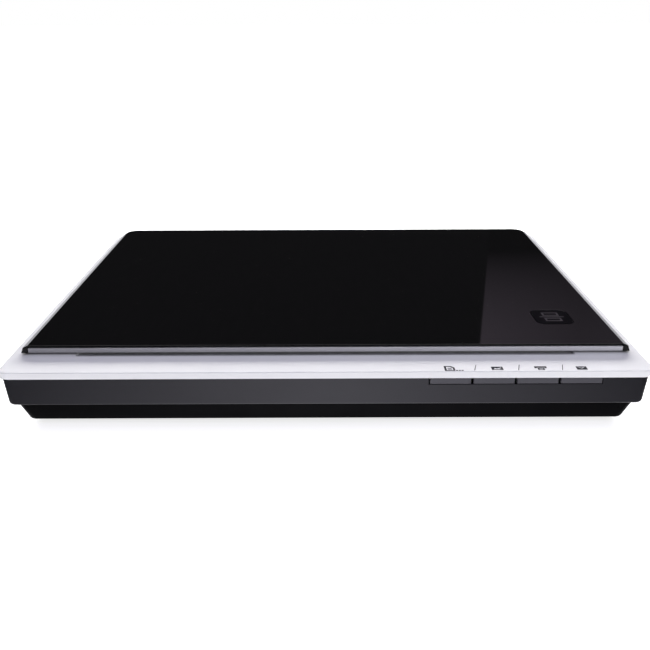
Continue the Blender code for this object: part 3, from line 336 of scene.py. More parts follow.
def metal(name, colour, roughness, grain):
    """Metal with drawing or turning lines along the axis whose grain factor is small."""
    material, tree, shader = new_material(name)
    lines = noise(tree, 1.0, 3.0, grain)
    spots = noise(tree, 220.0, 4.0)
    tone = blend_colours(tree, spread(tree, spots, 0.0, 1.0), shade(colour, 1 - TARNISH), colour)
    join(tree, tone, shader.inputs["Base Color"])
    shader.inputs["Metallic"].default_value = 1.0
    join(tree, spread(tree, lines, roughness * 0.7, roughness * 1.4), shader.inputs["Roughness"])
    raise_bump(tree, shader, [(lines, 0.000004)], 0.4)
    return material


def lid_gloss():
    """Piano-black plastic: almost a mirror, with hairlines from wiping and faint orange peel."""
    material, tree, shader = new_material("lid_gloss_black")
    hairlines = noise(tree, 1.0, 2.0, (2600.0, 60.0, 400.0))
    smears = noise(tree, 9.0, 4.0)
    tone = blend_colours(
        tree, spread(tree, hairlines, 0.0, 1.0), (0.0040, 0.0040, 0.0042), (0.0050, 0.0049, 0.0052)
    )
    join(tree, tone, shader.inputs["Base Color"])
    join(tree, spread(tree, smears, 0.022, 0.040), shader.inputs["Roughness"])
    shader.inputs["Specular IOR Level"].default_value = 0.25
    peel = noise(tree, 420.0, 1.0)
    raise_bump(tree, shader, [(peel, 0.0000006), (hairlines, 0.0000004)], 0.5)
    return material


def cover_white():
    """Glossy white plastic, a little cool, with a barely visible ripple."""
    material, tree, shader = new_material("cover_white")
    cloudy = noise(tree, 14.0, 3.0)
    tone = blend_colours(
        tree, spread(tree, cloudy, 0.0, 1.0), (0.800, 0.800, 0.815), (0.825, 0.825, 0.835)
    )
    join(tree, tone, shader.inputs["Base Color"])
    worn = noise(tree, 50.0, 4.0)
    join(tree, spread(tree, worn, 0.16, 0.24), shader.inputs["Roughness"])
    fine = noise(tree, 1500.0, 2.0)
    raise_bump(tree, shader, [(fine, 0.000002)], 0.5)
    return material


def trim_grey():
    """Metallic grey lacquer, brushed along its length, with a painted sheen that grows towards its
    right end.
    """
    material, tree, shader = new_material("trim_grey")
    brushed = noise(tree, 1.0, 3.0, (60.0, 9000.0, 9000.0))
    flakes = noise(tree, 5200.0, 2.0)
    base = blend_colours(
        tree, spread(tree, brushed, 0.0, 1.0), (0.345, 0.342, 0.356), (0.405, 0.402, 0.418)
    )
    worn = blend_colours(tree, spread(tree, flakes, 0.0, 0.25, 0.5, 0.8), base, (0.45, 0.45, 0.50))
    # Painted sheen: the lacquer is blended towards a pale colour further to the right, standing in
    # for a reflection of the light.
    painted_sheen_to_right = spread(tree, place_axes(tree)["X"], 0.0, 0.60, -0.17, 0.17)
    tone = blend_colours(tree, painted_sheen_to_right, worn, (0.95, 0.94, 0.98))
    join(tree, tone, shader.inputs["Base Color"])
    shader.inputs["Metallic"].default_value = 0.35
    join(tree, spread(tree, brushed, 0.28, 0.42), shader.inputs["Roughness"])
    raise_bump(tree, shader, [(brushed, 0.000003)], 0.4)
    return material


def clear_glass():
    """A plain pane: it mirrors by Fresnel and lets the rest through with a trace of green."""
    material, tree, shader = new_material("platen_glass")
    tree.nodes.remove(shader)
    through = tree.nodes.new("ShaderNodeBsdfTransparent")
    cast = noise(tree, 25.0, 2.0)
    tint = blend_colours(
        tree, spread(tree, cast, 0.0, 1.0, 0.55, 0.8), (0.93, 0.975, 0.955), (0.92, 0.965, 0.945)
    )
    join(tree, tint, through.inputs["Color"])
    mirror = tree.nodes.new("ShaderNodeBsdfGlossy")
    smears = noise(tree, 12.0, 3.0)
    join(tree, spread(tree, smears, 0.015, 0.04), mirror.inputs["Roughness"])
    fresnel = tree.nodes.new("ShaderNodeFresnel")
    fresnel.inputs["IOR"].default_value = 1.5
    mix = tree.nodes.new("ShaderNodeMixShader")
    join(tree, fresnel.outputs["Fac"], mix.inputs["Fac"])
    join(tree, through.outputs["BSDF"], mix.inputs[1])
    join(tree, mirror.outputs["BSDF"], mix.inputs[2])
    join(tree, mix.outputs["Shader"], tree.nodes["Material Output"].inputs["Surface"])
    return material


def lens_plastic(name, colour, roughness, pitch):
    """Clear optical plastic with fine ribs across its length."""
    material, tree, shader = new_material(name)
    ribs = tree.nodes.new("ShaderNodeTexWave")
    ribs.bands_direction = "Y"
    ribs.inputs["Scale"].default_value = 1 / pitch
    join(tree, stretched(tree, (1.0, 1.0, 1.0)), ribs.inputs["Vector"])
    tone = blend_colours(tree, ribs.outputs["Fac"], shade(colour, 0.7), colour)
    join(tree, tone, shader.inputs["Base Color"])
    shader.inputs["Transmission Weight"].default_value = 0.55
    cloudy = noise(tree, 300.0, 2.0)
    join(tree, spread(tree, cloudy, roughness * 0.8, roughness * 1.3), shader.inputs["Roughness"])
    raise_bump(tree, shader, [(ribs.outputs["Fac"], 0.00003)], 0.5)
    return material


def open_foam():
    """Grey open-cell foam, with painted shade in the pores of its cells."""
    material, tree, shader = new_material("pad_foam")
    cells = tree.nodes.new("ShaderNodeTexVoronoi")
    cells.inputs["Scale"].default_value = 1400.0
    join(tree, stretched(tree, (1.0, 1.0, 1.0)), cells.inputs["Vector"])
    # Painted shade: the colour darkens towards each cell's middle, where the pores lie in shadow.
    depth = spread(tree, cells.outputs["Distance"], 0.0, 1.0, 0.1, 0.7)
    tone = blend_colours(tree, depth, (0.10, 0.10, 0.11), (0.27, 0.27, 0.28))
    join(tree, tone, shader.inputs["Base Color"])
    rough = noise(tree, 300.0, 2.0)
    join(tree, spread(tree, rough, 0.88, 1.0), shader.inputs["Roughness"])
    raise_bump(tree, shader, [(cells.outputs["Distance"], 0.0003)], 0.8)
    return material


def pad_white():
    """The pad's white film, laid over the foam: satin, faintly pebbled, a little soiled."""
    material, tree, shader = new_material("pad_white")
    soil = noise(tree, 22.0, 5.0)
    tone = blend_colours(
        tree, spread(tree, soil, 0.0, 1.0), (0.84, 0.84, 0.83), (0.80, 0.80, 0.785)
    )
    join(tree, tone, shader.inputs["Base Color"])
    pebbles = noise(tree, 1600.0, 3.0)
    swell = noise(tree, 30.0, 2.0)
    join(tree, spread(tree, soil, 0.42, 0.58), shader.inputs["Roughness"])
    raise_bump(tree, shader, [(pebbles, 0.00001), (swell, 0.0002)], 0.5)
    return material


def circuit_green():
    """Green solder mask over copper tracks, with fine pads."""
    material, tree, shader = new_material("circuit_board")
    tracks = tree.nodes.new("ShaderNodeTexBrick")
    tracks.offset = 0.37
    tracks.inputs["Scale"].default_value = 260.0
    tracks.inputs["Mortar Size"].default_value = 0.06
    tracks.inputs["Brick Width"].default_value = 1.7
    tracks.inputs["Row Height"].default_value = 0.33
    join(tree, stretched(tree, (1.0, 1.0, 1.0)), tracks.inputs["Vector"])
    pads = tree.nodes.new("ShaderNodeTexVoronoi")
    pads.inputs["Scale"].default_value = 330.0
    join(tree, stretched(tree, (1.0, 1.0, 1.0)), pads.inputs["Vector"])
    mask = blend_colours(tree, tracks.outputs["Fac"], (0.012, 0.105, 0.040), (0.020, 0.190, 0.070))
    dots = spread(tree, pads.outputs["Distance"], 1.0, 0.0, 0.16, 0.20)
    tone = blend_colours(tree, dots, mask, (0.62, 0.50, 0.24))
    join(tree, tone, shader.inputs["Base Color"])
    gloss = noise(tree, 400.0, 2.0)
    join(tree, spread(tree, gloss, 0.28, 0.42), shader.inputs["Roughness"])
    raise_bump(tree, shader, [(tracks.outputs["Fac"], 0.00003)], 0.5)
    return material


def ribbon_film():
    """White cable film with its flat conductors showing as darker stripes."""
    material, tree, shader = new_material("ribbon_film")
    stripes = tree.nodes.new("ShaderNodeTexWave")
    stripes.bands_direction = "Y"
    stripes.inputs["Scale"].default_value = 160.0
    join(tree, stretched(tree, (1.0, 1.0, 1.0)), stripes.inputs["Vector"])
    tone = blend_colours(tree, stripes.outputs["Fac"], (0.72, 0.73, 0.74), (0.50, 0.52, 0.55))
    join(tree, tone, shader.inputs["Base Color"])
    dull = noise(tree, 250.0, 2.0)
    join(tree, spread(tree, dull, 0.34, 0.46), shader.inputs["Roughness"])
    raise_bump(tree, shader, [(stripes.outputs["Fac"], 0.00004)], 0.5)
    return material


def rubber(name, colour):
    """Matt rubber with a soft pebbled surface and a bloom of dust."""
    material, tree, shader = new_material(name)
    dust = noise(tree, 240.0, 5.0)
    tone = blend_colours(tree, spread(tree, dust, 0.0, 1.0, 0.45, 0.8), colour, shade(colour, 2.2))
    join(tree, tone, shader.inputs["Base Color"])
    pebbles = noise(tree, 2600.0, 2.0)
    join(tree, spread(tree, dust, 0.75, 0.95), shader.inputs["Roughness"])
    raise_bump(tree, shader, [(pebbles, 0.00002)], 0.6)
    return material


def floor_paint():
    """Pale studio floor, nearly even."""
    material, tree, shader = new_material("studio_floor")
    cloudy = noise(tree, 1.5, 3.0)
    tone = blend_colours(
        tree, spread(tree, cloudy, 0.0, 1.0), shade(FLOOR_COLOUR, 0.99), shade(FLOOR_COLOUR, 1.01)
    )
    join(tree, tone, shader.inputs["Base Color"])
    shader.inputs["Roughness"].default_value = 0.9
    shader.inputs["Specular IOR Level"].default_value = 0.0
    shader.inputs["Emission Color"].default_value = (*WHITE, 1.0)
    shader.inputs["Emission Strength"].default_value = FLOOR_GLOW
    return material


# Plastics: colour, roughness, size and depth of the grain, mottling, and specular level.
PLASTICS = {
    "base_black": ((0.0018, 0.0017, 0.0023), 0.5, 0.0005, 0.000004, 0.1, 0.03),
    "band_graphite": ((0.0085, 0.0080, 0.0125), 0.34, 0.0004, 0.00001, 0.06, 0.5),
    "button_plastic": ((0.074, 0.072, 0.083), 0.40, 0.0004, 0.00001, 0.05, 0.22),
    "lid_frame_black": ((0.022, 0.022, 0.024), 0.55, 0.0005, 0.00002),
    "hinge_plastic": ((0.018, 0.018, 0.020), 0.45, 0.0004, 0.00001),
    "carriage_black": ((0.020, 0.020, 0.021), 0.50, 0.0005, 0.00002),
    "sensor_black": ((0.012, 0.012, 0.013), 0.45, 0.0004, 0.00001),
    "socket_plastic": ((0.010, 0.010, 0.010), 0.40, 0.0003, 0.00001),
    "natural_nylon": ((0.66, 0.65, 0.60), 0.38, 0.0004, 0.00001, 0.04),
    "white_film": ((0.82, 0.82, 0.82), 0.50, 0.0004, 0.00001, 0.02),
    "seal_tape": ((0.030, 0.030, 0.030), 0.75, 0.0003, 0.00002, 0.15),
    "badge_black": ((0.0022, 0.0020, 0.0028), 0.35, 0.0005, 0.0000006, 0.1, 0.03),
    "badge_sign": ((0.034, 0.030, 0.035), 0.40, 0.0004, 0.000004, 0.08, 0.2),
    "print_ink": ((0.016, 0.016, 0.020), 0.45, 0.0003, 0.000004, 0.1, 0.3),
    "chip_epoxy": ((0.014, 0.014, 0.015), 0.55, 0.0002, 0.00001, 0.1),
    "ceramic": ((0.42, 0.33, 0.22), 0.40, 0.0003, 0.00001, 0.12),
    "stiffener_blue": ((0.030, 0.120, 0.420), 0.35, 0.0004, 0.00001),
}

# Metals: colour, roughness, and how fine the lines are along each axis.
METALS = {
    "screw_steel": ((0.52, 0.52, 0.54), 0.30, (900.0, 900.0, 3000.0)),
    "rod_steel": ((0.62, 0.62, 0.64), 0.20, (30.0, 4000.0, 4000.0)),
    "spring_steel": ((0.50, 0.50, 0.52), 0.28, (2000.0, 2000.0, 2000.0)),
    "motor_steel": ((0.56, 0.56, 0.57), 0.33, (500.0, 500.0, 4000.0)),
    "socket_steel": ((0.66, 0.66, 0.67), 0.25, (3000.0, 200.0, 3000.0)),
    "pinion_brass": ((0.68, 0.48, 0.18), 0.28, (1800.0, 1800.0, 900.0)),
    "solder": ((0.70, 0.70, 0.71), 0.35, (2500.0, 2500.0, 2500.0)),
}

MATERIALS = {
    **{name: plastic(name, *look) for name, look in PLASTICS.items()},
    **{name: metal(name, *look) for name, look in METALS.items()},
    "cover_white": cover_white(),
    "lid_gloss_black": lid_gloss(),
    "trim_grey": trim_grey(),
    "platen_glass": clear_glass(),
    "lens_glass": lens_plastic("lens_glass", (0.55, 0.60, 0.58), 0.12, 0.0016),
    "light_guide_clear": lens_plastic("light_guide_clear", (0.80, 0.88, 0.80), 0.10, 0.0040),
    "foot_rubber": rubber("foot_rubber", (0.016, 0.016, 0.016)),
    "circuit_board": circuit_green(),
    "ribbon_film": ribbon_film(),
    "pad_foam": open_foam(),
    "pad_white": pad_white(),
}


def dress_cad_nodes():
    """Each CAD node gets the material of its slot, and its edges are eased a little."""
    smoothing = {angle: weld_and_smooth(angle) for angle in (SHARP_ANGLE, LID_SHARP_ANGLE)}
    for name, node in NODES.items():
        slot = node.data.materials[0].name
        node.data.materials.clear()
        node.data.materials.append(MATERIALS[slot])
        angle = LID_SHARP_ANGLE if name == "lid_cover" else SHARP_ANGLE
        smooth = node.modifiers.new("weld_and_smooth", "NODES")
        smooth.node_group = smoothing[angle]
        width = EDGE_WIDTHS.get(name, USUAL_EDGE)
        if width > 0:
            ease_edges(node, width, angle)
        level = node.modifiers.new("level_large_faces", "WEIGHTED_NORMAL")
        level.weight = 100
        level.keep_sharp = True


def weld_and_smooth(sharp_angle):
    """Welds a mesh's split corners, then shades it round where faces meet at a low angle."""
    group = bpy.data.node_groups.new("weld_and_smooth", "GeometryNodeTree")
    group.interface.new_socket("Geometry", in_out="INPUT", socket_type="NodeSocketGeometry")
    group.interface.new_socket("Geometry", in_out="OUTPUT", socket_type="NodeSocketGeometry")
    start = group.nodes.new("NodeGroupInput")
    end = group.nodes.new("NodeGroupOutput")
    weld = group.nodes.new("GeometryNodeMergeByDistance")
    weld.inputs["Distance"].default_value = WELD_GAP
    angle = group.nodes.new("GeometryNodeInputMeshEdgeAngle")
    sharp = group.nodes.new("FunctionNodeCompare")
    sharp.operation = "GREATER_THAN"
    sharp.inputs["B"].default_value = sharp_angle
    normals = group.nodes.new("GeometryNodeSetMeshNormal")
    group.links.new(start.outputs["Geometry"], weld.inputs["Geometry"])
    group.links.new(angle.outputs["Unsigned Angle"], sharp.inputs["A"])
    group.links.new(weld.outputs["Geometry"], normals.inputs["Mesh"])
    group.links.new(sharp.outputs["Result"], normals.inputs["Edge Sharpness"])
    group.links.new(normals.outputs["Mesh"], end.inputs["Geometry"])
    return group


def ease_edges(piece, width, sharp_angle):
    """A small round on every sharp edge, so that it catches the light."""
    ease = piece.modifiers.new("eased_edges", "BEVEL")
    ease.width = width
    ease.segments = 2
    ease.limit_method = "ANGLE"
    ease.angle_limit = sharp_angle


# ------------------------------------------------------------------ mesh helpers


def piece_from(name, shape, material, body, smooth_angle=None):
    """An object from a bmesh. It rides on a CAD body when one is given."""
    mesh = bpy.data.meshes.new(name)
    bmesh.ops.recalc_face_normals(shape, faces=shape.faces)
    shape.to_mesh(mesh)
    shape.free()
    mesh.materials.append(MATERIALS[material])
    if smooth_angle:
        mesh.shade_smooth()
        mesh.set_sharp_from_angle(angle=smooth_angle)
    piece = bpy.data.objects.new(name, mesh)
    bpy.context.scene.collection.objects.link(piece)
    if body:
        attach(piece, body)
    return piece


def add_box(shape, low, high, edge=0.0, steps=2):
    """A box with eased edges, added to a bmesh."""
    low, high = Vector(low), Vector(high)
    size = Matrix.Diagonal((*(high - low), 1.0))
    made = bmesh.ops.create_cube(shape, size=1.0, matrix=Matrix.Translation((low + high) / 2) @ size)
    if edge > 0:
        edges = {e for vert in made["verts"] for e in vert.link_edges}
        bmesh.ops.bevel(
            shape, geom=list(edges), offset=edge, segments=steps, profile=0.5, affect="EDGES"
        )


def flat_print(name, loops, height, thickness, material, body):
    """A thin raised print: closed loops of points, where a loop inside another is a hole."""
    curve = bpy.data.curves.new(name, "CURVE")
    curve.dimensions = "2D"
    curve.fill_mode = "BOTH"
    curve.extrude = thickness / 2
    for loop in loops:
        spline = curve.splines.new("POLY")
        spline.points.add(len(loop) - 1)
        for point, (x, y) in zip(spline.points, loop):
            point.co = (x, y, 0.0, 1.0)
        spline.use_cyclic_u = True
    holder = bpy.data.objects.new(f"{name}_outline", curve)
    bpy.context.scene.collection.objects.link(holder)
    graph = bpy.context.evaluated_depsgraph_get()
    outline = bpy.data.meshes.new_from_object(holder.evaluated_get(graph))
    bpy.data.objects.remove(holder, do_unlink=True)
    shape = bmesh.new()
    shape.from_mesh(outline)
    bmesh.ops.remove_doubles(shape, verts=shape.verts, dist=WELD_GAP)
    bmesh.ops.translate(shape, verts=shape.verts, vec=(0, 0, height + thickness / 2))
    return piece_from(name, shape, material, body)


def rectangle(low_x, low_y, high_x, high_y):
    return [(low_x, low_y), (high_x, low_y), (high_x, high_y), (low_x, high_y)]


def ring(centre, radius, sides):
    """A regular polygon that stands for a circle."""
    angles = [math.tau * i / sides for i in range(sides)]
    return [(centre[0] + radius * math.cos(a), centre[1] + radius * math.sin(a)) for a in angles]


def placed(loops, centre):
    """Loops drawn in millimetres round their own middle, moved to a place in metres."""
    return [[(centre[0] + x / 1000, centre[1] + y / 1000) for x, y in loop] for loop in loops]


# ------------------------------------------------------------------ marks on the cover


def framed(low_x, low_y, high_x, high_y, line=0.6):
    """A rectangular frame as its outer and inner loops."""
    return [
        rectangle(low_x, low_y, high_x, high_y),
        rectangle(low_x + line, low_y + line, high_x - line, high_y - line),
    ]


def document_icon():
    """A page with a folded corner and lines on it, and three small squares at its foot."""
    page = [
        [(-5.8, -2.9), (0.0, -2.9), (0.0, 1.2), (-1.9, 3.1), (-5.8, 3.1)],
        [(-4.6, -2.1), (-1.0, -2.1), (-1.0, 0.6), (-2.4, 2.1), (-4.6, 2.1)],
    ]
    lines = [rectangle(-4.0, y, -1.7, y + 0.4) for y in (-1.5, -0.6, 0.3)]
    squares = [rectangle(x, -2.9, x + 1.1, -1.9) for x in (0.4, 1.9, 3.4)]
    return page + lines + squares


def photo_icon():
    """A solid picture with hills and a sun left open in it."""
    hills = [[(-2.3, -1.2), (-1.0, 0.6), (-0.2, -0.3), (0.8, 0.6), (2.4, -1.2)]]
    return [rectangle(-3.2, -2.0, 3.2, 2.0)] + hills + [ring((1.9, 1.1), 0.45, 12)]


def copy_icon():
    """A copier: a solid hood over an open sheet."""
    hood = [
        (-3.4, 2.3),
        (3.4, 2.3),
        (3.4, 0.0),
        (2.3, 0.0),
        (2.3, 0.7),
        (-2.3, 0.7),
        (-2.3, 0.0),
        (-3.4, 0.0),
    ]
    return [hood] + framed(-1.9, -2.1, 1.9, 0.3, 0.8)


def send_icon():
    """A solid envelope with its flap drawn as an open line."""
    flap = [(-2.3, 1.5), (-1.7, 1.5), (0.0, 0.2), (1.7, 1.5), (2.3, 1.5), (0.0, -0.6)]
    return [rectangle(-2.9, -2.0, 2.9, 2.0), flap]


ICONS = {"document": document_icon, "photo": photo_icon, "copy": copy_icon, "send": send_icon}


def button_icons():
    for name, draw in ICONS.items():
        low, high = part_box(f"button_{name}")
        centre = ((low.x + high.x) / 2 + ICON_SHIFTS[name], ICON_Y)
        flat_print(f"icon_{name}", placed(draw(), centre), COVER_TOP, PRINT, "print_ink", "base")


def button_separators():
    """Thin printed lines between the pictograms, in line with the gaps between the buttons."""
    keys = [f"button_{name}" for name in ICONS]
    loops = []
    for left, right in zip(keys, keys[1:]):
        x = (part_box(left)[1].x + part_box(right)[0].x) / 2
        loops.append(leaning_line(x + SEPARATOR_SHIFT, SEPARATOR_Y, SEPARATOR_LEAN, SEPARATOR_WIDTH))
    flat_print("icon_separators", loops, COVER_TOP, PRINT, "print_ink", "base")


def leaning_line(x, span, lean, width):
    """A thin line along Y that leans to the right as it goes back."""
    front, back = span
    return [
        (x - width / 2, front),
        (x + width / 2, front),
        (x + lean + width / 2, back),
        (x + lean - width / 2, back),
    ]


def tick_length(step):
    return TICK_LONG if step % LONG_TICK_EVERY == 0 else TICK_SHORT


def paper_size_marks():
    """Ruler ticks along the right and rear edges of the platen, and the corner arrow."""
    right, rear = OPENING_CORNER
    loops = []
    for step in range(REAR_TICKS):
        x = right - REAR_TICK_START - step * TICK_STEP
        near = rear + TICK_GAP
        loops.append(rectangle(x - TICK_HALF, near, x + TICK_HALF, near + tick_length(step)))
    for step in range(SIDE_TICKS):
        y = rear - SIDE_TICK_START - step * TICK_STEP
        near = right + TICK_GAP
        if y > OPENING_FRONT:
            loops.append(rectangle(near, y - TICK_HALF, near + tick_length(step), y + TICK_HALF))
    flat_print("paper_size_ticks", loops, COVER_TOP, PRINT, "print_ink", "base")
    corner = [[(0.0, 0.0), (4.4, 1.6), (1.6, 4.4)]]
    arrow = placed(corner, (right + ARROW_GAP, rear + ARROW_GAP))
    flat_print("platen_corner_arrow", arrow, COVER_TOP, PRINT, "print_ink", "base")


# ------------------------------------------------------------------ lid badge and pad


def badge_inlay():
    """A plain sign of two half pages and a scanning bar, inlaid flush in the gloss badge."""
    low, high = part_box("lid_badge")
    centre = ((low.x + high.x) / 2, (low.y + high.y) / 2)
    pages = [*framed(-5.2, 1.7, 5.2, 7.0, 1.2), *framed(-5.2, -7.0, 5.2, -1.7, 1.2)]
    flat_print("badge_sign_pages", placed(pages, centre), BADGE_TOP, PRINT, "badge_sign", "lid")
    bar = [rectangle(-7.6, -0.6, 7.6, 0.6)]
    flat_print("badge_sign_bar", placed(bar, centre), BADGE_TOP, PRINT, "badge_sign", "lid")


def document_pad():
    """The foam block and its white film, each with eased edges."""
    low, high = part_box("pad_foam")
    inset = Vector((PAD_INSET, PAD_INSET, 0))
    foam = (low + inset, high - inset)
    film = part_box("pad_sheet")
    pad_layer("document_pad_foam", "pad_foam", "pad_foam", foam, FOAM_EDGE)
    pad_layer("document_pad_film", "pad_sheet", "pad_white", film, FILM_EDGE)


def pad_layer(name, node, material, box, edge):
    """One layer of the lid's pad, in place of a CAD node."""
    shape = bmesh.new()
    add_box(shape, *box, edge, 3)
    piece = piece_from(name, shape, material, "lid", PAD_SMOOTH)
    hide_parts(node)


# ------------------------------------------------------------------ flat cable


def flat_cable():
    """The flat cable between the main board and the carriage."""
    low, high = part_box("ribbon_cable")
    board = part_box("main_board")[0]
    floor = low.z + 0.0001
    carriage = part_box("carriage_cradle")[1].x
    # The middle of the cable as (x, z) points, from the main board to the carriage.
    run = [
        (board.x + 0.0040, RIBBON_SOCKET_Z),
        (board.x - 0.0020, RIBBON_SOCKET_Z),
        (board.x - 0.0060, 0.0085),
        (board.x - 0.0100, floor + 0.0004),
        (board.x - 0.0140, floor),
        (RIBBON_START, floor),
        (-0.008, floor + 0.0006),
        (-0.060, floor + 0.0012),
        (-0.110, floor + 0.0024),
        (-0.132, 0.0115),
        (-0.140, 0.0150),
        (carriage + 0.0035, 0.0168),
        (carriage - 0.0005, 0.0170),
    ]
    line = smooth_line(run, RIBBON_STEP)
    shape = bmesh.new()
    rings = []
    for (x, z), (nx, nz) in zip(line, line_normals(line)):
        corners = [
            (low.y, RIBBON_HALF),
            (high.y, RIBBON_HALF),
            (high.y, -RIBBON_HALF),
            (low.y, -RIBBON_HALF),
        ]
        rings.append([shape.verts.new((x + nx * side, y, z + nz * side)) for y, side in corners])
    for first, second in zip(rings, rings[1:]):
        for i in range(4):
            j = (i + 1) % 4
            shape.faces.new((first[i], first[j], second[j], second[i]))
    shape.faces.new(rings[0])
    shape.faces.new(list(reversed(rings[-1])))
    cable = piece_from("flat_cable", shape, "ribbon_film", None, RIBBON_SMOOTH)
    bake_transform(cable)
    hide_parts("ribbon_cable")


def smooth_line(points, step):
    """A polyline through points (x, z), resampled by Catmull-Rom curves that don't overshoot."""
    line = []
    for i in range(len(points) - 1):
        before = points[max(i - 1, 0)]
        here, there = points[i], points[i + 1]
        after = points[min(i + 2, len(points) - 1)]
        length = math.dist(here, there)
        count = max(1, round(length / step))
        for k in range(count):
            t = k / count
            line.append(
                tuple(
                    0.5
                    * (
                        2 * b
                        + (c - a) * t * TENSION
                        + (2 * a - 5 * b + 4 * c - d) * t * t * TENSION
                        + (3 * b - 3 * c + d - a) * t * t * t * TENSION
                        + (1 - TENSION) * 2 * (c - b) * t
                    )
                    for a, b, c, d in zip(before, here, there, after)
                )
            )
    line.append(points[-1])
    return line


def line_normals(line):
    """The direction at right angles to a polyline at each of its points."""
    normals = []
    for i in range(len(line)):
        before, after = line[max(i - 1, 0)], line[min(i + 1, len(line) - 1)]
        dx, dz = after[0] - before[0], after[1] - before[1]
        length = math.hypot(dx, dz)
        normals.append((-dz / length, dx / length))
    return normals


# ------------------------------------------------------------------ circuit boards


def board_panel():
    """The main board's panel with eased corners, in place of the plain CAD board."""
    low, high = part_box("main_board")
    shape = bmesh.new()
    add_box(shape, low, (high.x, high.y, BOARD_TOP), BOARD_EDGE, 2)
    panel = piece_from("main_board_panel", shape, "circuit_board", "base")
    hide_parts("main_board")
    legged_chip("scanner_chip", **SCANNER_CHIP)
    legged_chip("memory_chip", **MEMORY_CHIP)
    cable_socket(low.x + SOCKET_INSET)
    small_parts("board_capacitors", "ceramic", CAPACITOR_HALF, CAPACITOR_PLACES)
    small_parts("board_resistors", "chip_epoxy", RESISTOR_HALF, RESISTOR_PLACES)


def legged_chip(name, centre, half, legs):
    """A flat chip in black epoxy with rows of bent legs on two sides."""
    x, y = centre
    body = bmesh.new()
    low = (x - half[0], y - half[1], BOARD_TOP + CHIP_LIFT)
    high = (x + half[0], y + half[1], BOARD_TOP + CHIP_HEIGHT)
    add_box(body, low, high, CHIP_EDGE, 1)
    piece_from(name, body, "chip_epoxy", "base")
    feet = bmesh.new()
    for i in range(legs):
        leg_y = y + half[1] * (2 * (i + 0.5) / legs - 1) * LEG_SPAN
        for side in (-1, 1):
            inner = x + side * half[0]
            outer = inner + side * LEG_REACH
            low = (min(inner, outer), leg_y - LEG_HALF, BOARD_TOP)
            high = (max(inner, outer), leg_y + LEG_HALF, BOARD_TOP + LEG_HEIGHT)
            add_box(feet, low, high)
    piece_from(f"{name}_legs", feet, "solder", "base")


def cable_socket(start):
    """The cable's low socket: a white body and a dark latch along it."""
    low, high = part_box("ribbon_cable")
    front, back = low.y - SOCKET_MARGIN, high.y + SOCKET_MARGIN
    end = start + SOCKET_DEPTH
    shape = bmesh.new()
    add_box(shape, (start, front, BOARD_TOP), (end, back, SOCKET_TOP), SOCKET_EDGE, 1)
    wall = (start + SOCKET_WALL, front, SOCKET_TOP)
    add_box(shape, wall, (end, back, SOCKET_WALL_TOP), SOCKET_EDGE, 1)
    piece_from("cable_socket", shape, "natural_nylon", "base")
    latch = bmesh.new()
    latch_low = (start, front, LATCH_Z[0])
    latch_high = (start + LATCH_DEPTH, back, LATCH_Z[1])
    add_box(latch, latch_low, latch_high, LATCH_EDGE, 2)
    piece_from("cable_latch", latch, "chip_epoxy", "base")


def small_parts(name, material, half, places):
    """Rows of tiny chip parts, and the bright solder ends on them."""
    bodies = bmesh.new()
    ends = bmesh.new()
    body, width = half * PART_BODY, half * PART_WIDTH
    for x, y in places:
        low = (x - body, y - width, BOARD_TOP)
        high = (x + body, y + width, BOARD_TOP + PART_HEIGHT)
        add_box(bodies, low, high)
        for side in (-1, 1):
            inner, outer = x + side * body, x + side * half
            low = (min(inner, outer), y - width, BOARD_TOP)
            high = (max(inner, outer), y + width, BOARD_TOP + PART_END_HEIGHT)
            add_box(ends, low, high)
    piece_from(name, bodies, material, "base")
    piece_from(f"{name}_ends", ends, "solder", "base")


# ------------------------------------------------------------------ studio


def studio_floor():
    shape = bmesh.new()
    bmesh.ops.create_grid(shape, x_segments=4, y_segments=4, size=FLOOR_REACH)
    mesh = bpy.data.meshes.new("studio_floor")
    shape.to_mesh(mesh)
    shape.free()
    mesh.materials.append(floor_paint())
    floor = bpy.data.objects.new("studio_floor", mesh)
    bpy.context.scene.collection.objects.link(floor)


def studio_dome():
    """Soft light from high up all round. Low down it is dark, so that the gloss stays black."""
    world = bpy.data.worlds.new("studio")
    world.use_nodes = True
    bpy.context.scene.world = world
    tree = world.node_tree
    tree.nodes.clear()
    place = tree.nodes.new("ShaderNodeTexCoord")
    split = tree.nodes.new("ShaderNodeSeparateXYZ")
    join(tree, place.outputs["Generated"], split.inputs["Vector"])
    rise = tree.nodes.new("ShaderNodeMapRange")
    rise.interpolation_type = "SMOOTHSTEP"
    rise.inputs["From Min"].default_value = math.sin(DOME_LOW)
    rise.inputs["From Max"].default_value = math.sin(DOME_HIGH)
    rise.inputs["To Min"].default_value = DOME_DARK
    rise.inputs["To Max"].default_value = DOME_BRIGHT
    join(tree, split.outputs["Z"], rise.inputs["Value"])
    dome = tree.nodes.new("ShaderNodeBackground")
    dome.inputs["Color"].default_value = (*DOME_COLOUR, 1.0)
    join(tree, rise.outputs["Result"], dome.inputs["Strength"])
    backdrop = tree.nodes.new("ShaderNodeBackground")
    backdrop.inputs["Color"].default_value = (*WHITE, 1.0)
    backdrop.inputs["Strength"].default_value = BACKDROP_BRIGHT
    path = tree.nodes.new("ShaderNodeLightPath")
    mix = tree.nodes.new("ShaderNodeMixShader")
    output = tree.nodes.new("ShaderNodeOutputWorld")
    join(tree, path.outputs["Is Camera Ray"], mix.inputs["Fac"])
    join(tree, dome.outputs["Background"], mix.inputs[1])
    join(tree, backdrop.outputs["Background"], mix.inputs[2])
    join(tree, mix.outputs["Shader"], output.inputs["Surface"])


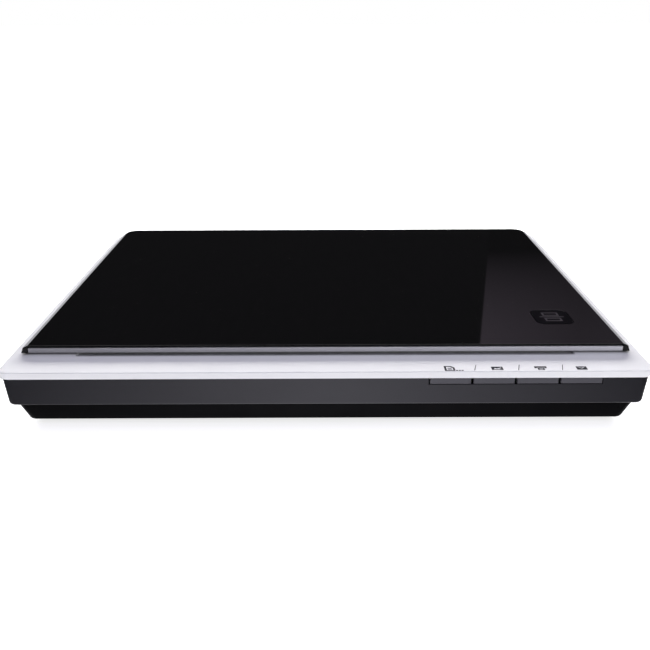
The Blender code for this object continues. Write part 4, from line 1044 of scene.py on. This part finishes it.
def soft_box(name, place, target, size, power, colour):
    """A rectangular light that faces a target."""
    lamp = bpy.data.lights.new(name, "AREA")
    lamp.shape = "RECTANGLE"
    lamp.size, lamp.size_y = size
    lamp.energy = power
    lamp.color = colour
    light = bpy.data.objects.new(name, lamp)
    light.location = place
    light.rotation_euler = (Vector(target) - Vector(place)).to_track_quat("-Z", "Y").to_euler()
    light.visible_glossy = False
    bpy.context.scene.collection.objects.link(light)


def mirrored_card(name, corners, colour, strength):
    """A card that only mirrors can see. Its brightness comes from a function of its nodes."""
    shape = bmesh.new()
    shape.faces.new([shape.verts.new(corner) for corner in corners])
    mesh = bpy.data.meshes.new(name)
    shape.to_mesh(mesh)
    shape.free()
    material = bpy.data.materials.new(name)
    material.use_nodes = True
    tree = material.node_tree
    tree.nodes.remove(tree.nodes["Principled BSDF"])
    glow = tree.nodes.new("ShaderNodeEmission")
    glow.inputs["Color"].default_value = (*colour, 1.0)
    join(tree, strength(tree), glow.inputs["Strength"])
    join(tree, glow.outputs["Emission"], tree.nodes["Material Output"].inputs["Surface"])
    mesh.materials.append(material)
    card = bpy.data.objects.new(name, mesh)
    card.visible_camera = False
    card.visible_diffuse = False
    card.visible_shadow = False
    bpy.context.scene.collection.objects.link(card)


def level_card(x, y, z):
    """The corners of a level card between two values of x and two of y."""
    return [(x[0], y[0], z), (x[1], y[0], z), (x[1], y[1], z), (x[0], y[1], z)]


def side_card():
    """Stands behind on the right, for the gloss lid: brighter higher up and further in."""

    def strength(tree):
        axes = place_axes(tree)
        upward = spread(tree, axes["Z"], 0.0, SIDE_CARD_BRIGHT, *SIDE_CARD_RISE)
        inward = spread(tree, axes["X"], 1.0, SIDE_CARD_RIGHT, *SIDE_CARD_FADE)
        return calculate(tree, "MULTIPLY", upward, inward)

    (left, right), (low, high) = SIDE_CARD_X, SIDE_CARD_Z
    outline = [(left, low), (right, low), (right, high), (left, high)]
    corners = [(x, SIDE_CARD_Y, z) for x, z in outline]
    mirrored_card("side_card", corners, SIDE_CARD_COLOUR, strength)


def front_card():
    """Lies on the floor in front, for the satin band: bright in the middle, dark to the sides."""

    def strength(tree):
        sideways = calculate(tree, "ABSOLUTE", place_axes(tree)["X"])
        return spread(tree, sideways, FRONT_CARD_BRIGHT, FRONT_CARD_DIM, *FRONT_CARD_FADE)

    corners = level_card((-FRONT_CARD_HALF, FRONT_CARD_HALF), FRONT_CARD_Y, FLOOR_CARD_LIFT)
    mirrored_card("front_card", corners, FRONT_CARD_COLOUR, strength)


def side_flags():
    """Lie on the floor at both sides, so that the case's sides mirror no bright floor."""

    def strength(tree):
        steady = tree.nodes.new("ShaderNodeValue")
        steady.outputs["Value"].default_value = FLAG_BRIGHT
        return steady.outputs["Value"]

    for name, side in (("side_flag_left", -1), ("side_flag_right", 1)):
        corners = level_card([side * x for x in FLAG_X], FLAG_Y, FLOOR_CARD_LIFT)
        mirrored_card(name, corners, WHITE, strength)


def top_card():
    """Hangs overhead and draws the fine highlights along rounded edges."""

    def strength(tree):
        across = calculate(tree, "ABSOLUTE", place_axes(tree)["X"])
        return spread(tree, across, TOP_CARD_BRIGHT, TOP_CARD_DIM, *TOP_CARD_FADE)

    half_x, half_y = TOP_CARD_HALF
    corners = level_card((-half_x, half_x), (-half_y, half_y), TOP_CARD_HEIGHT)
    mirrored_card("top_card", corners, TOP_CARD_COLOUR, strength)


def camera():
    eye = bpy.data.cameras.new("camera")
    eye.lens = CAMERA_LENS
    eye.sensor_width = SENSOR_WIDTH
    eye.clip_start = 0.01
    eye.clip_end = 100.0
    stand = bpy.data.objects.new("camera", eye)
    stand.location = CAMERA_PLACE
    pitch = Matrix.Rotation(math.pi / 2 - CAMERA_PITCH, 4, "X")
    yaw = Matrix.Rotation(CAMERA_YAW, 4, "Z")
    roll = Matrix.Rotation(-CAMERA_ROLL, 4, "Z")
    stand.rotation_euler = (yaw @ pitch @ roll).to_euler()
    bpy.context.scene.collection.objects.link(stand)
    bpy.context.scene.camera = stand


camera()
studio_floor()
studio_dome()
side_card()
front_card()
top_card()
side_flags()
soft_box("front_fill", FILL_PLACE, FILL_TARGET, FILL_SIZE, FILL_POWER, WHITE)
soft_box("rear_low", REAR_PLACE, REAR_TARGET, REAR_SIZE, REAR_POWER, REAR_COLOUR)
bpy.context.scene.view_settings.view_transform = "Standard"

dress_cad_nodes()
button_icons()
button_separators()
paper_size_marks()
badge_inlay()
document_pad()
flat_cable()
board_panel()
